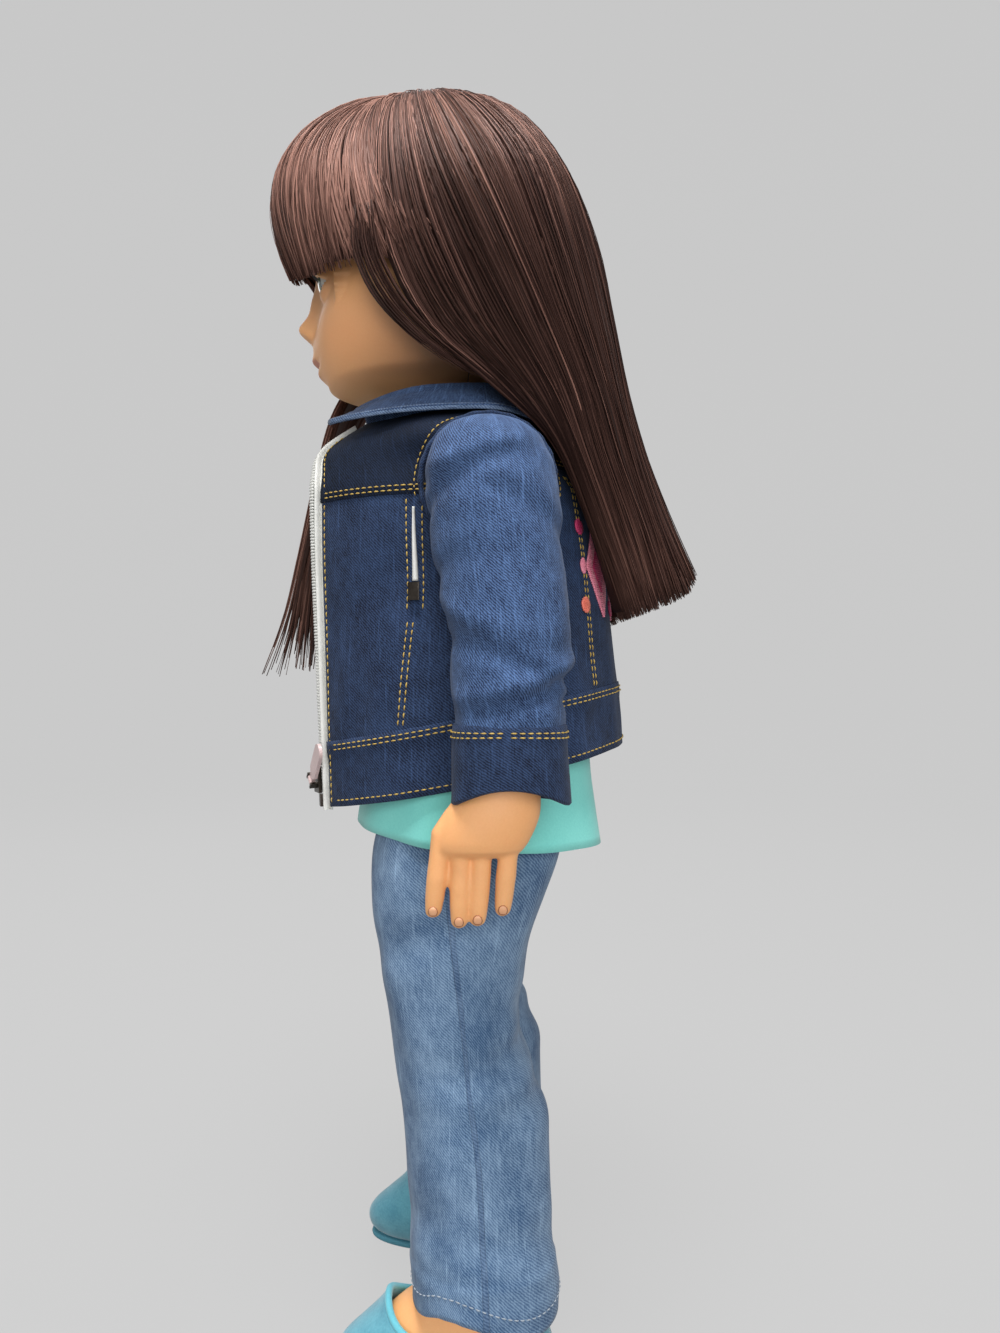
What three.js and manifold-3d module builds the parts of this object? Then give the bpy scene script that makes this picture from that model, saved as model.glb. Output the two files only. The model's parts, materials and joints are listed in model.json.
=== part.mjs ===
import * as THREE from 'three';
import { mergeVertices } from 'three/addons/utils/BufferGeometryUtils.js';
import Module from 'manifold-3d';

const wasm = await Module();
wasm.setup();

// A jointed play doll in everyday clothes. Millimetres, floor at Z = 0.
// The doll faces -Y, its left side is +X, and the torso's axis is X = 0, Y = 0.

// Fits and cloth
const FIT_GAP = 0.4;
const RUN_GAP = 0.6;
const SKIN_CLOTH = 1.2;
const SHIRT_CLOTH = 1.2;
const DENIM = 1.6;

// Legs, feet and shoes
const HIP_HEIGHT = 160;
const HIP_SPACING = 55;
const HIP_FORWARD = 4;
const THIGH_RADIUS = 23;
const ANKLE_WIDTH = 24;
const FOOT_SPACING = 80;
const FOOT_LENGTH = 71;
const FOOT_WIDTH = 29;
const INSTEP_HEIGHT = 30;
const JEANS_HEM_HEIGHT = 35;
const JEANS_HEM_WIDTH = 48;
const JEANS_HEM_DEPTH = 48.5;
const JEANS_KNEE_DEPTH = 44;
const JEANS_FOLDS = 3;
const JEANS_FOLD_DEPTH = 0.8;
const SOLE_THICKNESS = 2.7;
const SHOE_WALL = 2.2;
const SHOE_HEIGHT = 31;
const CROTCH_WIDTH = 8;
const CROTCH_DROP = 15;

// Torso
const TORSO_HEIGHT = 148;
const HIP_WIDTH = 92;
const CHEST_WIDTH = 84;
const TORSO_DEPTH = 75;
const NECK_RADIUS = 17.5;
const NECK_FORWARD = 6;
const DRAWSTRING_RADIUS = 1;
const ELASTIC_RADIUS = 2;
const KNOT_RADIUS = 5;
const WASHER_RADIUS = 6.5;
const WASHER_THICKNESS = 2;
const WAIST_TUCK = 2.5;
const CHEST_LEAN = 0.8;
const WAIST_RISE = 42;
const SHIRT_FLARE = 3.6;
const SHIRT_HEM_SLOPE = -0.06;
const SHIRT_FOLDS = 7;
const SHIRT_FOLD_DEPTH = 1;

// Head, eyes and hair
const HEAD_HEIGHT = 114;
const HEAD_WIDTH = 95;
const HEAD_DEPTH = 100;
const HEAD_FORWARD = 12;
const VINYL_WALL = 3;
const NECK_PLUG = 14;
const NOSE_LENGTH = 7;
const EYE_RADIUS = 8.8;
const EYE_SPACING = 37;
const EYE_LEVEL = 44;
const EYE_AXLE_RADIUS = 1.5;
const EYE_WEIGHT_DROP = 18;
const EYE_WEIGHT_HEIGHT = 10;
const EYE_WEIGHT_DEPTH = 10;
const EYE_WEIGHT_LAP = 1;
const HAIR_TOP = 12.5;
const HAIR_SIDE = 9;
const HAIR_FRONT = 16;
const HAIR_BACK = 8;
const FRINGE_LEVEL = 50;
const FRINGE_DROP = 6;
const FRINGE_SLANT = 8;
const FRINGE_BACK = 2;
const TEMPLE_LENGTH = 24;
const HAIR_LENGTH = 86;
const HAIR_SWEEP = 28;
const HAIR_LOCKS = 7;
const HAIR_RIPPLE = 1.6;
const HAIR_SIDE_THICKNESS = 7;
const HAIR_CLEARANCE = 7;
const HAIR_SIDE_TUCK = 10;
const EAR_BACK = 16;
const FRONT_LOCK_LENGTH = 143;
const FRONT_LOCK_OUT = 44;
const FRONT_LOCK_REACH = 84;
const FRONT_LOCK_WIDTH = 24;
const FRONT_LOCK_DEPTH = 16;

// Arms and sleeves
const SHOULDER_HEIGHT = 302;
const SHOULDER_SPACING = 118;
const SHOULDER_BACK = 4;
const ARM_LENGTH = 139;
const ARM_RADIUS = 15.5;
const WRIST_SPREAD = 11.5;
const WRIST_BACK = 6.5;
const WRIST_RADIUS = 9.5;
const HAND_WIDTH = 30;
const FINGER_RADIUS = 3.1;
const SLEEVE_RADIUS = 20;
const CUFF_RADIUS = 17.5;
const CUFF_HEIGHT = 22;
const CUFF_WALL = 2.8;
const SLEEVE_LENGTH = 102;
const ELBOW_FOLD = 7;

// Jacket, zip and pockets
const JACKET_HEM_WIDTH = 109;
const JACKET_CHEST_WIDTH = 97;
const JACKET_HEM_FRONT = 60;
const JACKET_CHEST_FRONT = 67;
const JACKET_HEM_BACK = 58;
const JACKET_CHEST_BACK = 44;
const JACKET_HEM_HEIGHT = 202;
const JACKET_HEM_SLOPE = 0.2;
const WAISTBAND_HEIGHT = 21;
const YOKE_SEAM_HEIGHT = 308;
const YOKE_SEAM_SLOPE = 0.147;
const SIDE_SEAM_BACK = 5;
const FRONT_OPENING = 56;
const NECK_OPENING = 26;
const NECK_EASE_SIDE = 11;
const NECK_EASE_FRONT = 22;
const NECK_EASE_BACK = 7;
const COLLAR_STAND = 4.5;
const COLLAR_SPREAD = 14;
const COLLAR_DROP = 9.5;
const COLLAR_WALL = 2;
const ZIP_TAPE_WIDTH = 5;
const ZIP_TEETH_WIDTH = 1.8;
const ZIP_TRAVEL = 90;
const SLIDER_LENGTH = 9;
const SLIDER_WIDTH = 6;
const SLIDER_WALL = 1.2;
const SLIDER_GAP = 1;
const ZIP_STOP_HEIGHT = 4.8;
const LUG_WALL = 0.8;
const TAB_LENGTH = 18;
const TAB_WIDTH = 6.2;
const TAB_THICKNESS = 1.2;
const TAB_LEAN = Math.PI / 4;
const POCKET_ZIP_LENGTH = 25;
const POCKET_ZIP_FORWARD = 20.5;
const POCKET_ZIP_WIDTH = 3;
const POCKET_ZIP_PROUD = 0.9;

// Facets
const BODY_STEPS = 22;
const LIMB_STEPS = 12;
const SLEEVE_STEPS = 14;
const SMALL_STEPS = 8;
const REACH = 400;

// Solids from closed geometry
function solid(geometry) {
  const bare = geometry.clone();
  bare.deleteAttribute('normal');
  bare.deleteAttribute('uv');
  const merged = mergeVertices(bare, 1e-4);
  const shape = new wasm.Mesh({
    numProp: 3,
    vertProperties: new Float32Array(merged.attributes.position.array),
    triVerts: new Uint32Array(merged.index.array),
  });
  return new wasm.Manifold(shape);
}

function join(first, ...others) {
  return others.reduce((whole, other) => whole.add(other), first);
}

function cut(first, ...others) {
  return others.reduce((whole, other) => whole.subtract(other), first);
}

function geometryOf(shape) {
  const mesh = shape.getMesh();
  const geometry = new THREE.BufferGeometry();
  geometry.setAttribute('position', new THREE.BufferAttribute(new Float32Array(mesh.vertProperties), 3));
  geometry.setIndex(new THREE.BufferAttribute(new Uint32Array(mesh.triVerts), 1));
  geometry.computeVertexNormals();
  return geometry;
}

// One ring of points around a section whose front and back halves may differ
function ring(row, steps) {
  const { x = 0, y = 0, z, wide, front, back = front, leastX = -REACH, folds = 0, depth = 0 } = row;
  const points = [];
  for (let step = 0; step < steps; step += 1) {
    const angle = (2 * Math.PI * step) / steps;
    const swell = 1 + (depth * Math.cos(folds * angle)) / wide;
    const reach = Math.sin(angle) < 0 ? front : back;
    const across = Math.max(x + wide * swell * Math.cos(angle), leastX);
    points.push(new THREE.Vector3(across, y + reach * swell * Math.sin(angle), z));
  }
  return points;
}

// A skin over rings of equal count, with its ends capped or, on a loop, joined to each other
function skin(rings, { loop = false, strip = false } = {}) {
  const count = rings[0].length;
  const positions = rings.flat().flatMap((point) => [point.x, point.y, point.z]);
  const index = [];
  const bands = loop ? rings.length : rings.length - 1;
  for (let band = 0; band < bands; band += 1) {
    const low = band * count;
    const high = ((band + 1) % rings.length) * count;
    for (let step = 0; step < count; step += 1) {
      const next = (step + 1) % count;
      index.push(low + step, low + next, high + next, low + step, high + next, high + step);
    }
  }
  const lastRing = (rings.length - 1) * count;
  if (!loop && strip) {
    for (let step = 0; step < count / 2 - 1; step += 1) {
      const far = count - 1 - step;
      index.push(step, far, far - 1, step, far - 1, step + 1);
      index.push(lastRing + step, lastRing + far - 1, lastRing + far);
      index.push(lastRing + step, lastRing + step + 1, lastRing + far - 1);
    }
  }
  if (!loop && !strip) {
    for (let step = 1; step < count - 1; step += 1) {
      index.push(0, step + 1, step);
      index.push(lastRing, lastRing + step, lastRing + step + 1);
    }
  }
  const geometry = new THREE.BufferGeometry();
  geometry.setAttribute('position', new THREE.Float32BufferAttribute(positions, 3));
  geometry.setIndex(index);
  const shape = solid(geometry);
  if (shape.volume() > 0) return shape;
  for (let corner = 0; corner < index.length; corner += 3) {
    [index[corner], index[corner + 1]] = [index[corner + 1], index[corner]];
  }
  geometry.setIndex(index);
  return solid(geometry);
}

function loft(rows, steps = BODY_STEPS) {
  return skin(rows.map((row) => ring(row, steps)));
}

// Rows grown outward by a distance, and a shell between two growths that is open at both ends
function grown(rows, distance) {
  return rows.map((row) => ({
    ...row,
    wide: row.wide + distance,
    front: row.front + distance,
    back: (row.back ?? row.front) + distance,
    leastX: (row.leastX ?? -REACH) - distance,
  }));
}

// The row at a height between two rows of a list
function rowAt(rows, z) {
  const next = rows.findIndex((row) => row.z > z);
  const [low, high] = [rows[next - 1], rows[next]];
  const share = (z - low.z) / (high.z - low.z);
  const mixed = { ...low, z };
  for (const size of ['y', 'wide', 'front', 'back']) {
    mixed[size] = THREE.MathUtils.lerp(low[size], high[size], share);
  }
  return mixed;
}

function shell(rows, inner, outer, steps = BODY_STEPS) {
  const outside = grown(rows, outer).map((row) => ring(row, steps));
  const inside = grown(rows, inner).map((row) => ring(row, steps));
  return skin([...outside, ...inside.reverse()], { loop: true });
}

function box(lowX, highX, lowY, highY, lowZ, highZ) {
  const geometry = new THREE.BoxGeometry(highX - lowX, highY - lowY, highZ - lowZ);
  geometry.translate((lowX + highX) / 2, (lowY + highY) / 2, (lowZ + highZ) / 2);
  return solid(geometry);
}

function rodAlongX(radius, lowX, highX, y, z, sides = LIMB_STEPS) {
  const geometry = new THREE.CylinderGeometry(radius, radius, highX - lowX, sides);
  geometry.rotateZ(Math.PI / 2);
  geometry.translate((lowX + highX) / 2, y, z);
  return solid(geometry);
}

function rodAlongZ(radius, y, lowZ, highZ) {
  const geometry = new THREE.CylinderGeometry(radius, radius, highZ - lowZ, LIMB_STEPS);
  geometry.rotateX(Math.PI / 2);
  geometry.translate(0, y, (lowZ + highZ) / 2);
  return solid(geometry);
}

function ball(radius, x, y, z, stretch = [1, 1, 1], steps = LIMB_STEPS) {
  const geometry = new THREE.SphereGeometry(radius, steps, Math.round(steps * 0.6));
  geometry.rotateZ(Math.PI / 2);
  geometry.scale(...stretch);
  geometry.translate(x, y, z);
  return solid(geometry);
}

// A bar with round ends between two points
function finger(radius, from, to) {
  const along = new THREE.Vector3().subVectors(to, from);
  const geometry = new THREE.CapsuleGeometry(radius, along.length(), 3, 8);
  geometry.applyQuaternion(new THREE.Quaternion().setFromUnitVectors(
    new THREE.Vector3(0, 1, 0),
    along.clone().normalize(),
  ));
  geometry.translate((from.x + to.x) / 2, (from.y + to.y) / 2, (from.z + to.z) / 2);
  return solid(geometry);
}

// Prisms drawn in the side view as [y, z] and in the front view as [x, z]
function prism(points, depth, axes, start) {
  const shape = new THREE.Shape(points.map(([across, up]) => new THREE.Vector2(across, up)));
  const geometry = new THREE.ExtrudeGeometry(shape, { depth, bevelEnabled: false });
  geometry.translate(0, 0, start);
  geometry.applyMatrix4(new THREE.Matrix4().makeBasis(...axes));
  return solid(geometry);
}

const AXIS_X = new THREE.Vector3(1, 0, 0);
const AXIS_Y = new THREE.Vector3(0, 1, 0);
const AXIS_Z = new THREE.Vector3(0, 0, 1);

function sidePrism(points) {
  return prism(points, 2 * REACH, [AXIS_Y, AXIS_Z, AXIS_X], -REACH);
}

function frontPrism(points) {
  return prism(points, REACH, [AXIS_X, AXIS_Z, AXIS_Y.clone().negate()], 0);
}

// Everything below a plane that rises with Y
function below(height, slope) {
  return sidePrism([
    [-REACH, -REACH],
    [REACH, -REACH],
    [REACH, height + slope * REACH],
    [-REACH, height - slope * REACH],
  ]);
}

const doll = new THREE.Group();

function part(parent, name, shape, color, roughness = 0.85, metalness = 0) {
  const material = new THREE.MeshStandardMaterial({ color, roughness, metalness, flatShading: true });
  const mesh = new THREE.Mesh(geometryOf(shape), material);
  mesh.name = name;
  parent.add(mesh);
}

function pivot(parent, x, y, z) {
  const group = new THREE.Group();
  group.position.set(x, y, z);
  parent.add(group);
  return group;
}

const SKIN_TONE = 0xdea573;
const DARK_DENIM = 0x2c4370;
const PALE_DENIM = 0x5c80ad;
const AQUA = 0x7fd8cf;
const HAIR = 0x4a332f;
const TAPE = 0xd8d8d2;
const GUNMETAL = 0x3d3833;
const CREAM_CLOTH = 0xe9d9c4;
const FILLING = 0xf2efe6;
const CORD = 0xf4f1ea;
const ZIP_TEETH = 0xc9c9c4;
const TAB_METAL = 0xc8aeac;
const BRACKET = 0xcfc9bd;
const EYE_WHITE = 0xf4f4f0;
const STEEL = 0xa9a9a9;
const SUEDE = 0x69b9c3;
const SOLE = 0x4f98a4;

// Places worked out from the driving sizes
const hipX = HIP_SPACING / 2;
const hipY = -HIP_FORWARD;
const footOut = (FOOT_SPACING - HIP_SPACING) / 2;
const thighCloth = THIGH_RADIUS + FIT_GAP + DENIM;
const torsoBase = HIP_HEIGHT + thighCloth + RUN_GAP;
const torsoTop = torsoBase + TORSO_HEIGHT;
const neckY = -NECK_FORWARD;
const headBase = torsoTop + 2 * DRAWSTRING_RADIUS + FIT_GAP;
const headTop = headBase + HEAD_HEIGHT;
const shoulderX = SHOULDER_SPACING / 2;
const boreRadius = ELASTIC_RADIUS + FIT_GAP;
const seatOuter = FIT_GAP + DENIM;
const shirtInner = seatOuter + FIT_GAP;
const shirtOuter = shirtInner + SHIRT_CLOTH;

// Torso: a stuffed cloth body, strung across at the shoulders and the hips
function torsoRow(share, width, depth, lean = 0) {
  return {
    y: neckY * Math.max(0, (share - 0.8) / 0.2),
    z: torsoBase + share * TORSO_HEIGHT,
    wide: width,
    front: depth - lean,
    back: depth + lean,
  };
}

const hipHalf = HIP_WIDTH / 2;
const chestHalf = CHEST_WIDTH / 2;
const depthHalf = TORSO_DEPTH / 2;
const torsoRows = [
  torsoRow(0, 0.93 * hipHalf, 0.9 * depthHalf),
  torsoRow(0.12, hipHalf, depthHalf),
  torsoRow(0.38, 0.52 * (hipHalf + chestHalf) - WAIST_TUCK, 0.97 * depthHalf, -CHEST_LEAN),
  torsoRow(0.7, chestHalf, 0.97 * depthHalf, -CHEST_LEAN),
  torsoRow(0.83, 0.9 * chestHalf, 0.84 * depthHalf),
  torsoRow(0.9, 0.7 * chestHalf, 0.7 * depthHalf),
  torsoRow(0.95, 0.5 * chestHalf, 0.54 * depthHalf),
  torsoRow(1, NECK_RADIUS, NECK_RADIUS),
];

const crotchHalf = CROTCH_WIDTH / 2;
const crotchRows = [
  { y: hipY, z: HIP_HEIGHT - CROTCH_DROP, wide: 0.6 * crotchHalf, front: 0.6 * THIGH_RADIUS },
  { y: hipY, z: HIP_HEIGHT, wide: crotchHalf, front: THIGH_RADIUS },
  { y: hipY, z: torsoBase + DENIM, wide: crotchHalf, front: 1.1 * THIGH_RADIUS },
];
const hipBore = rodAlongX(boreRadius, -REACH, REACH, hipY, HIP_HEIGHT, SMALL_STEPS);
const shoulderBore = rodAlongX(boreRadius, -REACH, REACH, SHOULDER_BACK, SHOULDER_HEIGHT, SMALL_STEPS);

function raised(rows, bottom, top) {
  return rows.map((row, place) => {
    if (place === 0) return { ...row, z: row.z + bottom };
    return place === rows.length - 1 ? { ...row, z: row.z + top } : row;
  });
}

const torsoSkin = cut(
  join(loft(torsoRows), loft(crotchRows, LIMB_STEPS)),
  loft(raised(grown(torsoRows, -SKIN_CLOTH), SKIN_CLOTH, SKIN_CLOTH)),
  hipBore,
  shoulderBore,
);
part(doll, 'torso_skin', torsoSkin, CREAM_CLOTH);

const neckPlugLow = torsoTop - NECK_PLUG;
const neckPlugRadius = NECK_RADIUS - SKIN_CLOTH - RUN_GAP;
const stuffing = cut(
  loft(raised(grown(torsoRows, -SKIN_CLOTH - FIT_GAP), SKIN_CLOTH + FIT_GAP, 0)),
  shoulderBore,
  box(-REACH, REACH, -REACH, REACH, neckPlugLow - RUN_GAP, REACH),
);
part(doll, 'torso_stuffing', stuffing, FILLING);

const drawstringBend = NECK_RADIUS + DRAWSTRING_RADIUS + FIT_GAP;
const drawstring = new THREE.TorusGeometry(drawstringBend, DRAWSTRING_RADIUS, SMALL_STEPS, SLEEVE_STEPS);
drawstring.translate(0, neckY, torsoTop + DRAWSTRING_RADIUS);
part(doll, 'neck_drawstring', solid(drawstring), CORD);

function elastic(halfLength, y, z) {
  return join(
    rodAlongX(ELASTIC_RADIUS, -halfLength, halfLength, y, z, SMALL_STEPS),
    ball(KNOT_RADIUS, halfLength, y, z, [1, 1, 1], SMALL_STEPS),
    ball(KNOT_RADIUS, -halfLength, y, z, [1, 1, 1], SMALL_STEPS),
  );
}

const knotDepth = WASHER_THICKNESS + KNOT_RADIUS + 2 * FIT_GAP;
const shoulderElastic = elastic(shoulderX + knotDepth, SHOULDER_BACK, SHOULDER_HEIGHT);
part(doll, 'shoulder_elastic', shoulderElastic, CORD);
part(doll, 'hip_elastic', elastic(hipX + knotDepth, hipY, HIP_HEIGHT), CORD);

// A bore for the elastic with a pocket for its washer and knot, relative to a limb's pivot
const pocketRadius = WASHER_RADIUS + FIT_GAP;
const pocketLength = 2 * KNOT_RADIUS + WASHER_THICKNESS + 3 * FIT_GAP;

function stringing() {
  return join(
    rodAlongX(boreRadius, -REACH, FIT_GAP, 0, 0, SMALL_STEPS),
    rodAlongX(pocketRadius, 0, pocketLength, 0, 0),
  );
}

function washer() {
  return cut(
    rodAlongX(WASHER_RADIUS, FIT_GAP, FIT_GAP + WASHER_THICKNESS, 0, 0),
    rodAlongX(boreRadius, -REACH, REACH, 0, 0, SMALL_STEPS),
  );
}

// Shirt and the top of the jeans, both worn on the torso
const shirtHem = torsoBase + RUN_GAP;
const shirtRows = torsoRows.slice(0, 6).map((row, place) => {
  const flare = place < 2 ? SHIRT_FLARE / (1 + 3 * place) : 0;
  const z = place === 0 ? row.z - DENIM : row.z;
  return { ...grown([row], flare)[0], z, folds: SHIRT_FOLDS, depth: place === 0 ? SHIRT_FOLD_DEPTH : 0 };
});
const armholeRadius = ARM_RADIUS + RUN_GAP;
const armholes = rodAlongX(armholeRadius, -REACH, REACH, SHOULDER_BACK, SHOULDER_HEIGHT);
const shirt = cut(
  shell(shirtRows, shirtInner, shirtOuter),
  below(shirtHem, SHIRT_HEM_SLOPE),
  armholes,
);
part(doll, 'shirt_body', shirt, AQUA);

const seatRows = [
  rowAt(torsoRows, torsoBase + FIT_GAP),
  torsoRows[1],
  rowAt(torsoRows, torsoBase + WAIST_RISE),
];
part(doll, 'jeans_seat', shell(seatRows, FIT_GAP, seatOuter), PALE_DENIM);

// The crotch of the jeans, a saddle under the torso's wedge
const saddleTop = { ...crotchRows[2], z: torsoBase - RUN_GAP };
const saddleRows = [crotchRows[0], crotchRows[1], saddleTop];
const saddleOuter = grown(saddleRows, seatOuter).map((row, place) => ({
  ...row,
  z: place === 0 ? row.z - seatOuter : row.z,
}));
const saddleInner = grown(saddleRows, FIT_GAP).map((row, place) => ({
  ...row,
  z: row.z + [-FIT_GAP, 0, DENIM][place],
}));
const saddle = cut(loft(saddleOuter, LIMB_STEPS), loft(saddleInner, LIMB_STEPS), hipBore);
part(doll, 'jeans_crotch', saddle, PALE_DENIM);

// Jacket: one tapering shell, cut at its seams
const chestLine = SHOULDER_HEIGHT - FIT_GAP;
const jacketLow = JACKET_HEM_HEIGHT - WAISTBAND_HEIGHT;
const neckEdge = headBase - COLLAR_STAND - FIT_GAP;
const jacketRows = [
  { z: jacketLow, wide: JACKET_HEM_WIDTH / 2, front: JACKET_HEM_FRONT, back: JACKET_HEM_BACK },
  { z: chestLine, wide: JACKET_CHEST_WIDTH / 2, front: JACKET_CHEST_FRONT, back: JACKET_CHEST_BACK },
  {
    z: chestLine + 0.25 * (neckEdge - chestLine),
    wide: 0.48 * JACKET_CHEST_WIDTH,
    front: 0.98 * JACKET_CHEST_FRONT,
    back: 0.87 * JACKET_CHEST_BACK,
  },
  {
    z: chestLine + 0.6 * (neckEdge - chestLine),
    wide: 0.41 * JACKET_CHEST_WIDTH,
    front: 0.9 * JACKET_CHEST_FRONT,
    back: 0.75 * JACKET_CHEST_BACK,
  },
  {
    z: neckEdge,
    wide: NECK_RADIUS + NECK_EASE_SIDE,
    front: NECK_RADIUS + NECK_FORWARD + NECK_EASE_FRONT,
    back: NECK_RADIUS + NECK_EASE_BACK,
  },
];
const underHem = below(JACKET_HEM_HEIGHT, JACKET_HEM_SLOPE);
const jacketShell = cut(shell(jacketRows, -DENIM, 0), armholes, underHem);

// The front opening, straight down the chest and drawn in at the neck
function opening(inset) {
  const half = FRONT_OPENING / 2 - inset;
  const neckHalf = NECK_OPENING / 2 - inset;
  return frontPrism([
    [-half, 0],
    [half, 0],
    [half, chestLine],
    [neckHalf, neckEdge],
    [neckHalf, headTop],
    [-neckHalf, headTop],
    [-neckHalf, neckEdge],
    [-half, chestLine],
  ]);
}

const jacketOpen = cut(jacketShell, opening(0));
const bandTop = JACKET_HEM_HEIGHT + WAISTBAND_HEIGHT;
const seam = FIT_GAP / 2;
const aboveBand = cut(jacketOpen, below(bandTop + seam, JACKET_HEM_SLOPE));
const waistband = jacketOpen.intersect(below(bandTop - seam, JACKET_HEM_SLOPE));
part(doll, 'jacket_waistband', waistband, DARK_DENIM);
const yoke = cut(aboveBand, below(YOKE_SEAM_HEIGHT + seam, YOKE_SEAM_SLOPE));
part(doll, 'jacket_yoke', yoke, DARK_DENIM);
const panels = aboveBand.intersect(below(YOKE_SEAM_HEIGHT - seam, YOKE_SEAM_SLOPE));
const behindSeam = box(-REACH, REACH, SIDE_SEAM_BACK + seam, REACH, 0, REACH);
const beforeSeam = box(0, REACH, -REACH, SIDE_SEAM_BACK - seam, 0, REACH);
part(doll, 'jacket_back', panels.intersect(behindSeam), DARK_DENIM);
const leftFront = panels.intersect(beforeSeam);

// Pocket zips lie on the fronts beside the armholes
const pocketFront = -POCKET_ZIP_FORWARD - POCKET_ZIP_WIDTH / 2;
const pocketBack = pocketFront + POCKET_ZIP_WIDTH;
const pocketTop = SHOULDER_HEIGHT - 0.5 * ARM_RADIUS;
const pocketLow = pocketTop - POCKET_ZIP_LENGTH;
const pocketSkin = shell(jacketRows, FIT_GAP, FIT_GAP + POCKET_ZIP_PROUD);
const pocketZip = pocketSkin.intersect(
  box(0, REACH, pocketFront, pocketBack, pocketLow, pocketTop),
);
const pocketEnd = pocketLow - FIT_GAP;
const pocketSlider = shell(jacketRows, FIT_GAP, FIT_GAP + 2 * POCKET_ZIP_PROUD).intersect(box(
  0,
  REACH,
  pocketFront - FIT_GAP,
  pocketBack + FIT_GAP,
  pocketEnd - 2 * POCKET_ZIP_WIDTH,
  pocketEnd,
));

// Zip tapes and teeth follow the edges of the opening
const zipTop = neckEdge - FIT_GAP;
const zipSpan = box(0, REACH, -REACH, 0, 0, zipTop);
const tapeBand = cut(opening(FIT_GAP), opening(ZIP_TAPE_WIDTH)).intersect(zipSpan);
const teethStart = ZIP_TAPE_WIDTH + FIT_GAP;
const teethBand = cut(opening(teethStart), opening(teethStart + ZIP_TEETH_WIDTH)).intersect(zipSpan);
const zipTape = jacketShell.intersect(tapeBand);
const teethX = FRONT_OPENING / 2 - teethStart - ZIP_TEETH_WIDTH / 2;

// A point of the jacket's outer face at a height, in front, at a given X
function jacketFront(x, z) {
  const share = (z - jacketLow) / (chestLine - jacketLow);
  const wide = THREE.MathUtils.lerp(jacketRows[0].wide, jacketRows[1].wide, share);
  const front = THREE.MathUtils.lerp(jacketRows[0].front, jacketRows[1].front, share);
  return new THREE.Vector3(x, -front * Math.sqrt(1 - (x / wide) ** 2), z);
}

const teethLow = JACKET_HEM_HEIGHT + JACKET_HEM_SLOPE * jacketFront(teethX, JACKET_HEM_HEIGHT).y;
const belowTeeth = box(0, REACH, -REACH, 0, 0, teethLow + ZIP_STOP_HEIGHT);
const zipTeeth = cut(jacketShell.intersect(teethBand), belowTeeth);

for (const [side, sign] of [['left', 1], ['right', -1]]) {
  const half = new THREE.Group();
  half.scale.x = sign;
  doll.add(half);
  part(half, `jacket_${side}_front`, leftFront, DARK_DENIM);
  part(half, `${side}_zip_tape`, zipTape, TAPE, 0.7);
  part(half, `${side}_zip_teeth`, zipTeeth, ZIP_TEETH, 0.5);
  part(half, `${side}_pocket_zip`, pocketZip, TAPE, 0.7);
  part(half, `${side}_pocket_slider`, pocketSlider, GUNMETAL, 0.35, 0.9);
}

// Zip: a retainer box and the slider on the left, the loose pin on the right
const tapeEdge = FRONT_OPENING / 2 - teethStart;
const stopSkin = shell(jacketRows, -DENIM - SLIDER_WALL, SLIDER_WALL);
const stopTop = teethLow + ZIP_STOP_HEIGHT - FIT_GAP;
const retainer = stopSkin.intersect(
  box(tapeEdge - SLIDER_WIDTH / 2, tapeEdge, -REACH, 0, teethLow, stopTop),
);
const pin = stopSkin.intersect(
  box(-tapeEdge, ZIP_TEETH_WIDTH - tapeEdge, -REACH, 0, teethLow, stopTop),
);
part(doll, 'zip_retainer_box', retainer, GUNMETAL, 0.35, 0.9);
part(doll, 'zip_pin', pin, GUNMETAL, 0.35, 0.9);

// The slider's own frame: X along the cloth towards the tape, Y into the cloth, Z up the teeth
const sliderLow = jacketFront(teethX, teethLow + ZIP_STOP_HEIGHT + FIT_GAP);
const sliderHigh = jacketFront(teethX, sliderLow.z + ZIP_TRAVEL);
const zipUp = new THREE.Vector3().subVectors(sliderHigh, sliderLow).normalize();
const clothAlong = new THREE.Vector3().subVectors(
  jacketFront(teethX + 1, sliderLow.z),
  jacketFront(teethX - 1, sliderLow.z),
).normalize();
const clothIn = new THREE.Vector3().crossVectors(zipUp, clothAlong).normalize();
const sliderX = new THREE.Vector3().crossVectors(clothIn, zipUp);
const slider = pivot(doll, ...sliderLow.clone().addScaledVector(clothIn, DENIM / 2).toArray());
slider.setRotationFromMatrix(new THREE.Matrix4().makeBasis(sliderX, clothIn, zipUp));
slider.name = 'slider_travel';

const slotHalf = DENIM / 2 + SLIDER_GAP;
const sliderFace = slotHalf + SLIDER_WALL;
const sliderHalf = SLIDER_WIDTH / 2;
const barrelRadius = TAB_THICKNESS;
const hingeOut = -(sliderFace + barrelRadius + FIT_GAP);
const lugSpan = 0.5 * TAB_WIDTH;

function turned(shape) {
  const geometry = geometryOf(shape);
  geometry.rotateY(TAB_LEAN);
  geometry.translate(0, hingeOut, SLIDER_LENGTH / 2);
  return solid(geometry);
}

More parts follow.
